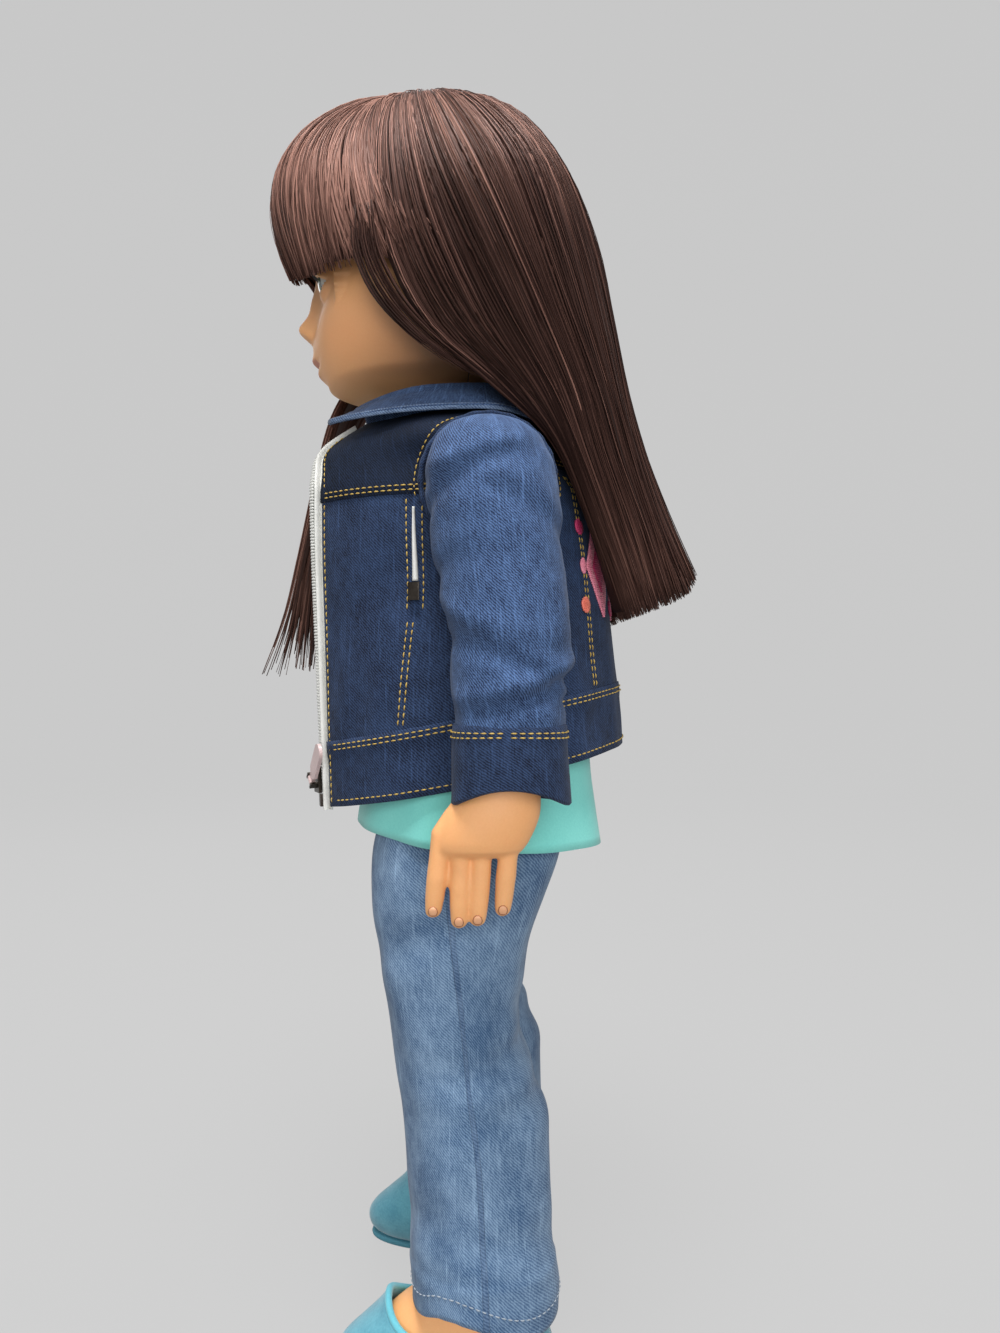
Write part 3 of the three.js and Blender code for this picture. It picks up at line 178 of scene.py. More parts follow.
def gridPiece(name, grid, material, closed=False, caps=(False, False), inward=False):
    # grid rows run up the cloth, columns run round it; UVs are in metres of cloth
    rows, columns = len(grid), len(grid[0])
    across = runLengths(grid[rows // 2], closed)
    up = runLengths([row[columns // 3] for row in grid], False)
    steps = columns if closed else columns - 1
    vertices = [point for row in grid for point in row]
    faces = []
    marks = []
    for row in range(rows - 1):
        for step in range(steps):
            low, high = row * columns, (row + 1) * columns
            beside = (step + 1) % columns
            faces.append((low + step, low + beside, high + beside, high + step))
            marks.append([
                (across[step], up[row]),
                (across[step + 1], up[row]),
                (across[step + 1], up[row + 1]),
                (across[step], up[row + 1]),
            ])
    outward = 0.0
    for face in faces[:: max(1, len(faces) // 400)]:
        a, b, c = (vertices[k] for k in face[:3])
        ring = grid[face[0] // columns]
        centre = sum(ring, Vector()) / columns
        outward += (b - a).cross(c - a).dot(a - centre)
    for row, wanted in ((0, caps[0]), (rows - 1, caps[1])):
        if wanted:
            ring = [row * columns + step for step in range(columns)]
            vertices.append(sum((vertices[k] for k in ring), Vector()) / columns)
            for step in range(columns):
                pair = (ring[step], ring[(step + 1) % columns])
                pair = pair[::-1] if row == 0 else pair
                faces.append((*pair, len(vertices) - 1))
                marks.append([(across[step], up[row])] * 3)
    if (outward < 0) != inward:
        faces = [face[::-1] for face in faces]
        marks = [mark[::-1] for mark in marks]
    piece = newPiece(name, vertices, faces, material)
    layer = piece.data.uv_layers.new(name="cloth")
    layer.data.foreach_set("uv", [value for mark in marks for spot in mark for value in spot])
    return piece


def flipped(points):
    return [Vector((-point.x, point.y, point.z)) for point in points]


def sided(grid, flip):
    # the right side is the left one mirrored
    return [flipped(row) for row in grid] if flip else grid


def mirrorCopy(piece, name):
    other = piece.copy()
    other.data = piece.data.copy()
    other.name = name
    show(other)
    for vertex in other.data.vertices:
        vertex.co.x = -vertex.co.x
    other.data.flip_normals()
    return other


def thicken(piece, thickness):
    solidify = piece.modifiers.new("cloth thickness", "SOLIDIFY")
    solidify.thickness = thickness * mm
    solidify.offset = -1
    return piece


def tubeFaces(rings):
    # closed tube through rings of equal count, with its two ends fanned shut
    count = len(rings[0])
    vertices = [point for ring in rings for point in ring]
    faces = []
    for row in range(len(rings) - 1):
        for step in range(count):
            beside = (step + 1) % count
            low, high = row * count, (row + 1) * count
            faces.append((low + step, low + beside, high + beside, high + step))
    faces.append(tuple(range(count))[::-1])
    faces.append(tuple(range(len(vertices) - count, len(vertices))))
    return vertices, faces


class ManyTubes:
    # gathers many small closed tubes into one mesh, each with its own tone
    def __init__(self):
        self.vertices = []
        self.faces = []
        self.tones = []
        self.places = []

    def add(self, rings, tone=0.5):
        vertices, faces = tubeFaces(rings)
        start = len(self.vertices)
        along = 0.0
        shift = draw.random()
        for row, ring in enumerate(rings):
            half = len(ring) // 2
            if row:
                along += (ring[0] - rings[row - 1][0]).length
            side = (ring[0] - ring[half]).normalized()
            middle = (ring[0] + ring[half]) / 2
            self.places += [(shift + (point - middle).dot(side), along) for point in ring]
        self.vertices += vertices
        self.faces += [tuple(k + start for k in face) for face in faces]
        tones = tone if isinstance(tone, list) else [tone] * len(rings)
        for value, ring in zip(tones, rings):
            self.tones += [value] * len(ring)

    def build(self, name, material):
        piece = newPiece(name, self.vertices, self.faces, material)
        floatLayer(piece, "tone", self.tones)
        marks = piece.data.uv_layers.new(name="cloth")
        for loop in piece.data.loops:
            marks.data[loop.index].uv = self.places[loop.vertex_index]
        return piece


def ringAround(centre, sideways, outwards, wide, deep, count):
    ring = []
    for angle in turns(count):
        ring.append(centre + sideways * (wide * cos(angle)) + outwards * (deep * sin(angle)))
    return ring


# Thread: each stitch is its own small grain lying on the cloth

thread = {"length": 2.0, "gap": 0.5, "width": 0.27, "height": 0.24, "sides": 5}


def sewLine(tubes, points, normals, size):
    lengths = runLengths(points, False)
    pitch = (thread["length"] + thread["gap"]) * mm * size
    count = int(lengths[-1] / pitch)
    step = 0
    for stitch in range(count):
        spots = []
        for share in (0.02, 0.3, 0.55, 0.74):
            target = (stitch + share) * pitch
            while step < len(lengths) - 2 and lengths[step + 1] < target:
                step += 1
            inside = (target - lengths[step]) / max(lengths[step + 1] - lengths[step], 1e-9)
            spots.append((points[step].lerp(points[step + 1], inside), normals[step]))
        step = max(step - 3, 0)
        rings = []
        along = (spots[-1][0] - spots[0][0]).normalized()
        for (centre, out), swell in zip(spots, (0.35, 1.0, 1.0, 0.35)):
            side = along.cross(out).normalized()
            lift = out * (thread["height"] * mm * size * (swell - 0.2))
            wide = thread["width"] * mm * size * swell
            rings.append(ringAround(centre + lift, side, out, wide, 0.8 * wide, thread["sides"]))
        tubes.add(rings, draw.random())


def sewPiece(name, runs, material, size=1.0):
    # each run is a row of points with the cloth's normals beside them
    tubes = ManyTubes()
    for points, normals in runs:
        sewLine(tubes, points, normals, size)
    return tubes.build(name, material)


# Shader helpers and shared effects

def addNode(tree, kind, **settings):
    node = tree.nodes.new(kind)
    for key, value in settings.items():
        setattr(node, key, value)
    return node


def setInputs(node, values):
    for name, value in values.items():
        node.inputs[name].default_value = value


def feed(tree, value, socket):
    if isinstance(value, (int, float, tuple)):
        socket.default_value = value
    else:
        tree.links.new(value, socket)


def math2(tree, operation, first, second):
    node = addNode(tree, "ShaderNodeMath", operation=operation)
    feed(tree, first, node.inputs[0])
    feed(tree, second, node.inputs[1])
    return node.outputs[0]


def weighted(tree, first, firstShare, second, secondShare):
    some = math2(tree, "MULTIPLY", first, firstShare)
    rest = math2(tree, "MULTIPLY", second, secondShare)
    return math2(tree, "ADD", some, rest)


def ranged(tree, value, low, high):
    node = addNode(tree, "ShaderNodeMapRange")
    setInputs(node, {"From Min": low, "From Max": high})
    tree.links.new(value, node.inputs["Value"])
    return node.outputs[0]


def mixColour(tree, factor, low, high):
    node = addNode(tree, "ShaderNodeMix", data_type="RGBA", blend_type="MIX")
    feed(tree, factor, node.inputs[0])
    feed(tree, low, node.inputs[6])
    feed(tree, high, node.inputs[7])
    return node.outputs[2]


def attribute(tree, name):
    return addNode(tree, "ShaderNodeAttribute", attribute_name=name).outputs["Fac"]


def colour(red, green, blue):
    # from the 0 to 255 values that a paint chart gives
    def linear(value):
        value /= 255
        return value / 12.92 if value <= 0.04045 else ((value + 0.055) / 1.055) ** 2.4
    return (linear(red), linear(green), linear(blue), 1)


def colourRamp(tree, value, stops):
    ramp = addNode(tree, "ShaderNodeValToRGB")
    for k, (place, shade) in enumerate(stops):
        stop = ramp.color_ramp.elements[k] if k < 2 else ramp.color_ramp.elements.new(place)
        stop.position = place
        stop.color = colour(*shade)
    tree.links.new(value, ramp.inputs[0])
    return ramp.outputs[0]


def newGroup(name, inputs, outputs):
    group = bpy.data.node_groups.new(name, "ShaderNodeTree")
    for label, kind, value in inputs:
        socket = group.interface.new_socket(name=label, in_out="INPUT", socket_type=kind)
        socket.default_value = value
    for label, kind in outputs:
        group.interface.new_socket(name=label, in_out="OUTPUT", socket_type=kind)
    return group, addNode(group, "NodeGroupInput"), addNode(group, "NodeGroupOutput")


def stretchedNoise(tree, source, scale, detail=2.0, rough=0.5):
    mapping = addNode(tree, "ShaderNodeMapping")
    setInputs(mapping, {"Scale": scale})
    tree.links.new(source, mapping.inputs["Vector"])
    node = addNode(tree, "ShaderNodeTexNoise")
    setInputs(node, {"Scale": 1.0, "Detail": detail, "Roughness": rough})
    tree.links.new(mapping.outputs[0], node.inputs["Vector"])
    return node.outputs[0]


def makeDenimGroup():
    # twill of warp and weft threads, with slubs and washed patches
    group, entry, leave = newGroup(
        "denimWeave",
        [
            ("Indigo", "NodeSocketColor", (0.02, 0.04, 0.1, 1)),
            ("Pale", "NodeSocketColor", (0.3, 0.4, 0.6, 1)),
            ("Grain", "NodeSocketFloat", 0.5),
            ("Wash", "NodeSocketFloat", 0.3),
        ],
        [("Color", "NodeSocketColor"), ("Height", "NodeSocketFloat")],
    )
    place = addNode(group, "ShaderNodeTexCoord").outputs["UV"]
    twill = addNode(group, "ShaderNodeTexWave", wave_type="BANDS", bands_direction="DIAGONAL")
    setInputs(twill, {"Scale": 560, "Distortion": 3, "Detail": 2, "Detail Scale": 1.2})
    group.links.new(place, twill.inputs["Vector"])
    warp = stretchedNoise(group, place, (2600, 230, 1), 3)
    weft = stretchedNoise(group, place, (260, 2600, 1), 3)
    slub = stretchedNoise(group, place, (900, 42, 1), 2)
    wash = stretchedNoise(group, place, (55, 38, 1), 4, 0.6)
    mottle = math2(group, "MULTIPLY", stretchedNoise(group, place, (240, 150, 1), 3, 0.6), 0.5)
    threads = weighted(group, warp, 0.62, weft, 0.38)
    woven = weighted(group, threads, 0.75, twill.outputs[1], 0.25)
    grain = math2(group, "MULTIPLY", ranged(group, woven, 0.36, 0.68), entry.outputs["Grain"])
    worn = math2(group, "SUBTRACT", math2(group, "ADD", wash, mottle), 0.67)
    washed = math2(group, "MULTIPLY", worn, entry.outputs["Wash"])
    half = math2(group, "MULTIPLY", entry.outputs["Grain"], 0.5)
    streaks = math2(group, "MULTIPLY", ranged(group, slub, 0.56, 0.76), half)
    share = math2(group, "ADD", math2(group, "ADD", grain, washed), streaks)
    clamp = addNode(group, "ShaderNodeClamp")
    group.links.new(share, clamp.inputs[0])
    shade = mixColour(group, clamp.outputs[0], entry.outputs["Indigo"], entry.outputs["Pale"])
    group.links.new(shade, leave.inputs["Color"])
    group.links.new(woven, leave.inputs["Height"])
    return group


def makeSpeckGroup():
    # fine specks and slow drift that soften a plain colour
    group, entry, leave = newGroup(
        "softSpeck",
        [
            ("Base", "NodeSocketColor", (0.5, 0.5, 0.5, 1)),
            ("Drift", "NodeSocketColor", (0.4, 0.4, 0.4, 1)),
            ("Fine", "NodeSocketFloat", 900.0),
            ("Broad", "NodeSocketFloat", 40.0),
        ],
        [("Color", "NodeSocketColor"), ("Height", "NodeSocketFloat")],
    )
    place = addNode(group, "ShaderNodeTexCoord").outputs["Object"]
    fine = addNode(group, "ShaderNodeTexNoise")
    broad = addNode(group, "ShaderNodeTexNoise")
    for node, label in ((fine, "Fine"), (broad, "Broad")):
        group.links.new(place, node.inputs["Vector"])
        group.links.new(entry.outputs[label], node.inputs["Scale"])
        setInputs(node, {"Detail": 3})
    share = weighted(group, broad.outputs[0], 0.6, fine.outputs[0], 0.4)
    spread = ranged(group, share, 0.35, 0.68)
    shade = mixColour(group, spread, entry.outputs["Base"], entry.outputs["Drift"])
    group.links.new(shade, leave.inputs["Color"])
    group.links.new(fine.outputs[0], leave.inputs["Height"])
    return group


denimGroup = makeDenimGroup()
speckGroup = makeSpeckGroup()


def newMaterial(name, rough, metal=0.0):
    material = bpy.data.materials.new(name)
    material.use_nodes = True
    shader = material.node_tree.nodes["Principled BSDF"]
    setInputs(shader, {"Roughness": rough, "Metallic": metal})
    return material, material.node_tree, shader


def addBump(tree, shader, height, strength, distance):
    bump = addNode(tree, "ShaderNodeBump")
    setInputs(bump, {"Strength": strength, "Distance": distance * mm})
    tree.links.new(height, bump.inputs["Height"])
    tree.links.new(bump.outputs[0], shader.inputs["Normal"])


def addSpeck(tree, base, drift, fine=900, broad=40):
    speck = addNode(tree, "ShaderNodeGroup", node_tree=speckGroup)
    setInputs(speck, {"Base": colour(*base), "Drift": colour(*drift), "Fine": fine, "Broad": broad})
    return speck.outputs


def denimMaterial(name, indigo, pale, grain, wash, sheen=0.12):
    material, tree, shader = newMaterial(name, 0.86)
    weave = addNode(tree, "ShaderNodeGroup", node_tree=denimGroup)
    setInputs(weave, {"Indigo": colour(*indigo), "Pale": colour(*pale), "Grain": grain, "Wash": wash})
    tree.links.new(weave.outputs["Color"], shader.inputs["Base Color"])
    setInputs(shader, {"Sheen Weight": sheen, "Specular IOR Level": 0.2})
    addBump(tree, shader, weave.outputs["Height"], 0.5, 0.25)
    return material


def speckMaterial(name, base, drift, rough, fine=900, broad=40, metal=0.0, bump=0.0, sheen=0.0):
    material, tree, shader = newMaterial(name, rough, metal)
    speck = addSpeck(tree, base, drift, fine, broad)
    tree.links.new(speck["Color"], shader.inputs["Base Color"])
    setInputs(shader, {"Sheen Weight": sheen})
    if bump:
        addBump(tree, shader, speck["Height"], bump, 0.2)
    return material


# Denim: indigo, pale thread, grain, wash, sheen
# One denim in two copies: the darker one, on the body and cuffs, holds painted shade; the lighter one, on the
# sleeves and collar, holds painted light
shadedJacketDenim = denimMaterial("jacket denim", (7, 15, 34), (66, 92, 136), 0.46, 0.5, 0.04)
# the yoke's darker copy of the denim is painted shade from the head and collar
shadedYokeDenim = denimMaterial("shaded yoke denim", (4, 10, 22), (38, 56, 88), 0.42, 0.4, 0.0)
litSleeveDenim = denimMaterial("sleeve denim", (13, 26, 54), (100, 134, 186), 0.56, 0.4, 0.06)
edgeDenim = denimMaterial("worn denim edge", (44, 62, 92), (138, 162, 196), 0.7, 0.9)
jeansDenim = denimMaterial("jeans denim", (54, 84, 120), (146, 174, 202), 0.55, 1.1)
seamDenim = denimMaterial("jeans seam denim", (52, 78, 112), (126, 152, 182), 0.55, 0.9)
# Other finishes: base, drift, roughness, fine specks, broad drift
jerseyCloth = speckMaterial(
    "aqua jersey", (118, 212, 203), (134, 224, 214), 0.85, 1400, 60, bump=0.25, sheen=0.2,
)
bodyCloth = speckMaterial("body cloth", (232, 215, 194), (222, 203, 180), 0.9, 1500, 50, bump=0.3)
cordCloth = speckMaterial("white cord", (240, 236, 228), (220, 214, 204), 0.85, 2200, 300, bump=0.3)
tapeCloth = speckMaterial("zip tape cloth", (226, 226, 222), (206, 206, 200), 0.8, 1800, 120, bump=0.3)
toothPlastic = speckMaterial("zip teeth plastic", (224, 224, 220), (205, 205, 200), 0.35, 900, 80)
paleThread = speckMaterial("pale thread", (168, 178, 188), (150, 160, 172), 0.7, 3000, 400, bump=0.3)
goldThread = speckMaterial("gold thread", (196, 166, 82), (170, 138, 62), 0.6, 3000, 400, bump=0.3)
gunmetal = speckMaterial("gunmetal", (74, 68, 62), (48, 44, 42), 0.32, 1200, 160, metal=1.0)
tabMetal = speckMaterial("pull tab metal", (222, 198, 196), (206, 182, 180), 0.38, 1500, 120, metal=0.3)
steelMetal = speckMaterial("plain steel", (176, 176, 176), (150, 150, 152), 0.35, 1500, 120, metal=1.0)
bracketPlastic = speckMaterial("bracket plastic", (207, 201, 189), (196, 188, 176), 0.55, 900, 60)
shoeSuede = speckMaterial("aqua suede", (72, 140, 160), (100, 168, 184), 0.95, 1300, 160, bump=0.6, sheen=0.5)
shoeRim = speckMaterial("shoe binding", (104, 188, 202), (90, 172, 188), 0.85, 1600, 140, bump=0.4, sheen=0.3)
shoeSole = speckMaterial("shoe sole rubber", (76, 144, 162), (68, 132, 150), 0.75, 900, 90, bump=0.2)

# What stays as made in the construction gets its finish here
rigidFinish = {
    gunmetal: ["zip_slider", "zip_retainer_box", "zip_pin", "left_pocket_slider", "right_pocket_slider"],
    tabMetal: ["zip_pull_tab"],
    steelMetal: [
        "eye_axle", "eye_weight",
        "left_arm_washer", "right_arm_washer", "left_leg_washer", "right_leg_washer",
    ],
    bracketPlastic: ["eye_bracket"],
    cordCloth: ["neck_drawstring", "shoulder_elastic", "hip_elastic"],
}
easedEdge = {"width": 0.28, "segments": 3}
for finish, names in rigidFinish.items():
    for name in names:
        nodes[name].data.materials.clear()
        nodes[name].data.materials.append(finish)
        if finish in (gunmetal, tabMetal):
            bevel = nodes[name].modifiers.new("eased edges", "BEVEL")
            bevel.width = easedEdge["width"] * mm
            bevel.segments = easedEdge["segments"]
            bevel.limit_method = "ANGLE"
            nodes[name].data.shade_smooth()

print("materials made")


# Camera, floor and light

photo = {"distance": 350, "across": 8, "height": 241, "lens": 24.68, "sensor": 36}
cameraData = bpy.data.cameras.new("camera")
cameraData.lens = photo["lens"]
cameraData.sensor_width = photo["sensor"]
cameraData.clip_start = 0.01
camera = show(bpy.data.objects.new("camera", cameraData))
camera.location = at(photo["distance"], photo["across"], photo["height"])
camera.rotation_euler = (pi / 2, 0, pi / 2)
bpy.context.scene.camera = camera
bpy.context.scene.view_settings.view_transform = "Standard"

stageSize = {"flat": 1.3, "bend": 0.7, "wall": 2.4, "steps": 64, "glow": 0.555, "bendSteps": 10}


def makeStage():
    flat, bend = stageSize["flat"], stageSize["bend"]
    profile = [(0.02, 0.0), (0.5, 0.0), (flat, 0.0)]
    for step in range(1, stageSize["bendSteps"] + 1):
        angle = 0.5 * pi * step / stageSize["bendSteps"]
        profile.append((flat + bend * sin(angle), bend * (1 - cos(angle))))
    profile.append((flat + bend, stageSize["wall"]))
    grid = []
    for reach, height in profile:
        rounds = turns(stageSize["steps"])
        grid.append([Vector((reach * cos(angle), reach * sin(angle), height)) for angle in rounds])
    material, tree, shader = newMaterial("pale stage", 0.9)
    speck = addSpeck(tree, (64, 64, 64), (62, 62, 62), broad=2)
    tree.links.new(speck["Color"], shader.inputs["Base Color"])
    setInputs(shader, {"Emission Color": (1, 1, 1, 1), "Emission Strength": stageSize["glow"]})
    setInputs(shader, {"Specular IOR Level": 0.05})
    stage = gridPiece("stage", grid, material, closed=True, caps=(True, False), inward=True)
    stage.visible_diffuse = False
    stage.visible_shadow = False


def addLamp(name, place, aim, size, power):
    data = bpy.data.lights.new(name, "AREA")
    data.size = size
    data.energy = power
    lamp = show(bpy.data.objects.new(name, data))
    lamp.location = place
    lamp.rotation_euler = (Vector(aim) - Vector(place)).to_track_quat("-Z", "Y").to_euler()


makeStage()
addLamp("key", (0.3, -0.05, 1.35), (0, 0, 0.3), 0.5, 19)
addLamp("camera side", (1.3, 0.15, 0.5), (0, 0, 0.22), 0.8, 11)
addLamp("far side", (-0.9, -0.4, 0.9), (0, 0, 0.25), 0.8, 3)
world = bpy.data.worlds.new("studio")
world.use_nodes = True
setInputs(world.node_tree.nodes["Background"], {"Color": (1, 1, 1, 1), "Strength": 0.33})
bpy.context.scene.world = world
print("stage and camera set")


# Jacket body: one pattern surface, cut into panels that lap at their seams

jacket = {
    # height, half width, front, back
    "rows": [
        (181, 54.5, 60, 58),
        (240, 51.6, 63.6, 51.6),
        (301.6, 48.5, 67, 44),
        (309, 46.6, 66, 38.6),
        (319.3, 39.8, 61.5, 33),
        (331, 28.5, 45.5, 24.5),
    ],
    "neck": 331,
    "hem": 202,
    "hemSlope": 0.2,
    "band": 21,
    "frontYoke": 300.5,
    "yoke": 308,
    "yokeSlope": 0.147,
    "shoulder": 12,
    "shoulderHeight": 320.5,
    "shoulderSpread": 8,
    "opening": 28,
    "neckOpening": 13,
    "chest": 301.6,
    "sideSeam": radians(97),
    "sideLap": 0.05,
    "cloth": 1.5,
    "lap": 2.0,
    "ledge": 0.5,
    "fold": 1.3,
    "foldFade": (312, 262),
    "girth": 52,
    # height, spread and depth of the gathers; the drag also climbs towards the side
    "gathers": (226, 16, 0.7),
    "drag": (236, 12, 1.1, 34),
    "straightEdge": (0.5, 0.95),
}
pocketZip = {
    "back": -20.5,
    "half": 1.1,
    "low": 269.4,
    "high": 294,
    "lift": 0.8,
    "taper": 0.4,
    "cloth": 0.4,
}


def jacketFold(angle, z):
    # soft folds: gathers over the waistband and a drag under the arm
    low = ease(*jacket["foldFade"], z)
    side = abs(sin(angle))
    spot = (60 * sin(angle), 60 * cos(angle), 0.55 * z)
    height, spread, depth = jacket["gathers"]
    gathers = ripple(spot, 9.0) * depth * hump(z, height, spread)
    broad = ripple(spot, 24.0, 3.0)
    height, spread, depth, climb = jacket["drag"]
    drag = depth * hump(z - climb * side, height, spread) * side ** 4
    # the front edges stay straight for the zip
    inside = ease(*jacket["straightEdge"], min(angle % fullTurn, -angle % fullTurn))
    return inside * (jacket["fold"] * low * (broad + gathers) - drag)


def jacketPoint(angle, z, lift=0.0):
    # angle 0 is the front, and a quarter turn is the doll's left
    wide, front, back = rowAt(jacket["rows"], z)
    reach = front if cos(angle) > 0 else back
    grow = 1 + (jacketFold(angle, z) + lift) / jacket["girth"]
    ridge = hump(z, jacket["shoulderHeight"], jacket["shoulderSpread"])
    wide += jacket["shoulder"] * hump(abs(sin(angle)), 1, 0.14) * ridge
    return at(wide * grow * sin(angle), -reach * grow * cos(angle), z)


def jacketNormal(angle, z):
    along = jacketPoint(angle + 0.01, z) - jacketPoint(angle - 0.01, z)
    rising = jacketPoint(angle, z + 0.6) - jacketPoint(angle, z - 0.6)
    return along.cross(rising).normalized()


def edgeAngle(z, inset=0.0):
    share = ease(jacket["chest"], jacket["neck"], z)
    half = mix(jacket["opening"], jacket["neckOpening"], share) - inset
    return asin(half / rowAt(jacket["rows"], z)[0])


def slopedHeight(angle, base, slope):
    z = base
    for _ in range(3):
        z = base + slope * (jacketPoint(angle, z).y / mm - shiftY)
    return z


def hemLine(angle):
    return slopedHeight(angle, jacket["hem"], jacket["hemSlope"])


def bandLine(angle):
    return slopedHeight(angle, jacket["hem"] + jacket["band"], jacket["hemSlope"])


def yokeLine(angle):
    turn = min(angle, fullTurn - angle)
    rear = slopedHeight(angle, jacket["yoke"], jacket["yokeSlope"])
    return mix(jacket["frontYoke"], rear, ease(1.3, 1.8, turn))


def neckLine(angle):
    return jacket["neck"]


def jacketPanel(low, high, start, stop, columns, rows, ledges=(0, 0), sides=(0, 0)):
    # start and stop are angles, or None at the front opening
    def angleAt(z, across):
        first = edgeAngle(z) if start is None else start
        last = fullTurn - edgeAngle(z) if stop is None else stop
        return mix(first, last, across)

    grid = []
    for row in range(rows + 1):
        share = row / rows
        line = []
        for column in range(columns + 1):
            across = column / columns
            angle = angleAt(mix(low(1.2), high(1.2), share), across)
            z = mix(low(angle), high(angle), share)
            angle = angleAt(z, across)
            lift = ledges[0] * ease(0.3, 0.1, share) + ledges[1] * ease(0.7, 0.9, share)
            lift += sides[0] * ease(0.08, 0.03, across) + sides[1] * ease(0.92, 0.97, across)
            line.append(jacketPoint(angle, z, lift))
        grid.append(line)
    return grid


def lowered(line, amount):
    return lambda angle: line(angle) - amount


def makeJacketBody():
    ledge, lap, seam = jacket["ledge"], jacket["lap"], jacket["sideSeam"]
    band = jacketPanel(hemLine, lowered(bandLine, -lap), None, None, 150, 12, (0, ledge))
    yoke = jacketPanel(lowered(yokeLine, lap), neckLine, None, None, 150, 14, (ledge, 0))
    back = jacketPanel(bandLine, yokeLine, seam, fullTurn - seam, 84, 44)
    front = jacketPanel(bandLine, yokeLine, None, seam + jacket["sideLap"], 46, 44, sides=(0, ledge))
    panels = [
        ("jacketWaistband", band, "jacket_waistband", "gathered", shadedJacketDenim),
        ("jacketYoke", yoke, "jacket_yoke", "draped", shadedYokeDenim),
        ("jacketBack", back, "jacket_back", "hung", shadedJacketDenim),
        ("jacketLeftFront", front, "jacket_left_front", "hung", shadedJacketDenim),
        ("jacketRightFront", sided(front, True), "jacket_right_front", "hung", shadedJacketDenim),
    ]
    made = []
    for name, grid, node, held, material in panels:
        piece = thicken(gridPiece(name, grid, material), jacket["cloth"])
        fit(piece, "jacket_denim", "torso", node)
        made.append((piece, held))
    return made


# Rows of thread: heights and offsets, and turns from the front for the upright ones
stitching = {
    "lift": 0.1,
    "band": (0.5, -1.1),
    "hem": 2.2,
    "yoke": (-0.7, 0.9),
    "bandStart": (250, 0.07),
    "yokeStart": (304, 0.05),
    "edgeInset": 0.035,
    "edgeTop": 326,
    "pair": (-0.016, 0.016),
    # first and last turn, between which heights
    "frontSeam": (1.165, 1.228, 221, 256),
    "frontSeamTop": 258,
    "backSeam": (2.5, 2.42, 220, 310),
    "seamEnd": 3,
    "besidePocket": (-2.6, 2.8),
    "pocketRun": (260, 297.5),
}


def sewJacket():
    runs = []
    lift = stitching["lift"]
    ledge = jacket["ledge"] + lift

    def sew(spots, raised):
        points = [jacketPoint(angle, z, raised) for angle, z in spots]
        runs.append((points, [jacketNormal(angle, z) for angle, z in spots]))

    def alongRound(line, offset, first, raised):
        angles = [mix(first, fullTurn - first, step / 160) for step in range(161)]
        sew([(angle, line(angle) + offset) for angle in angles], raised)

    def upAndDown(turn, angleOf, low, high):
        heights = [mix(low, high, step / 80) for step in range(81)]
        sew([(turn * angleOf(z), z) for z in heights], lift)

    def besideEdge(z):
        return edgeAngle(z) + stitching["edgeInset"]

    def seamAt(seam, apart):
        first, last, low, high = stitching[seam]
        return lambda z: mix(first, last, (z - low) / (high - low)) + apart

    def pocketAt(reach):
        return lambda z: acos(-reach / rowAt(jacket["rows"], z)[1])

    height, inset = stitching["bandStart"]
    edge = inset + edgeAngle(height)
    for offset in stitching["band"]:
        alongRound(bandLine, offset, edge, ledge)
    alongRound(hemLine, stitching["hem"], edge, lift)
    height, inset = stitching["yokeStart"]
    for offset in stitching["yoke"]:
        alongRound(yokeLine, offset, inset + edgeAngle(height), ledge)
    end = stitching["seamEnd"]
    for turn in (1, -1):
        upAndDown(turn, besideEdge, hemLine(edge) + 1, stitching["edgeTop"])
        for apart in stitching["pair"]:
            upAndDown(turn, seamAt("frontSeam", apart), bandLine(1.2) + end, stitching["frontSeamTop"])
            upAndDown(turn, seamAt("backSeam", apart), bandLine(2.5) + end, yokeLine(2.4) - end)
        for beside in stitching["besidePocket"]:
            upAndDown(turn, pocketAt(pocketZip["back"] + beside), *stitching["pocketRun"])
    fit(sewPiece("jacketStitches", runs, goldThread), "jacket_denim", "torso")


jacketPanels = makeJacketBody()
sewJacket()
print("jacket body sewn")


# Collar: a stand that folds over into a wide leaf

collar = {
    "frontRise": 4.5,
    "sideRise": 9.0,
    "edge": 329.4,
    "rearEdge": 323,
    "leaf": 11.8,
    "point": 2.4,
    "ease": 1.8,
    "cloth": 1.7,
    "foldAt": 0.3,
    "pointTurn": 0.42,
    "steps": 110,
    "rim": (0.8, 1.1),
    "threadRun": (0.5, 1.0),
    "threadAt": 0.86,
    "threadDrop": -2.2,
}


def collarPoint(angle, share, lift=0.0):
    # share 0 is the neck seam and 1 the leaf's edge, with the fold between them
    turn = min(angle, fullTurn - angle)
    fold = jacket["neck"] + mix(collar["frontRise"], collar["sideRise"], ease(0.3, 1.25, turn))
    edge = mix(collar["edge"], collar["rearEdge"], ease(1.7, 2.7, turn))
    leaf = collar["leaf"] + collar["point"] * hump(turn, collar["pointTurn"], 0.25)
    foldAt = collar["foldAt"]
    if share < foldAt:
        z = mix(jacket["neck"] - 2, fold, sin(share / foldAt * pi / 2))
        out = mix(-0.5, collar["ease"], share / foldAt)
    else:
        run = (share - foldAt) / (1 - foldAt)
        z = fold + sin(pi * min(3 * run, 1)) - (fold - edge) * run ** 1.15
        out = collar["ease"] + leaf * run
    neck = (0, 0, *rowAt(jacket["rows"], jacket["neck"]))
    return ovalPoint(neck, angle, z + 0.5 * lift, out + lift)


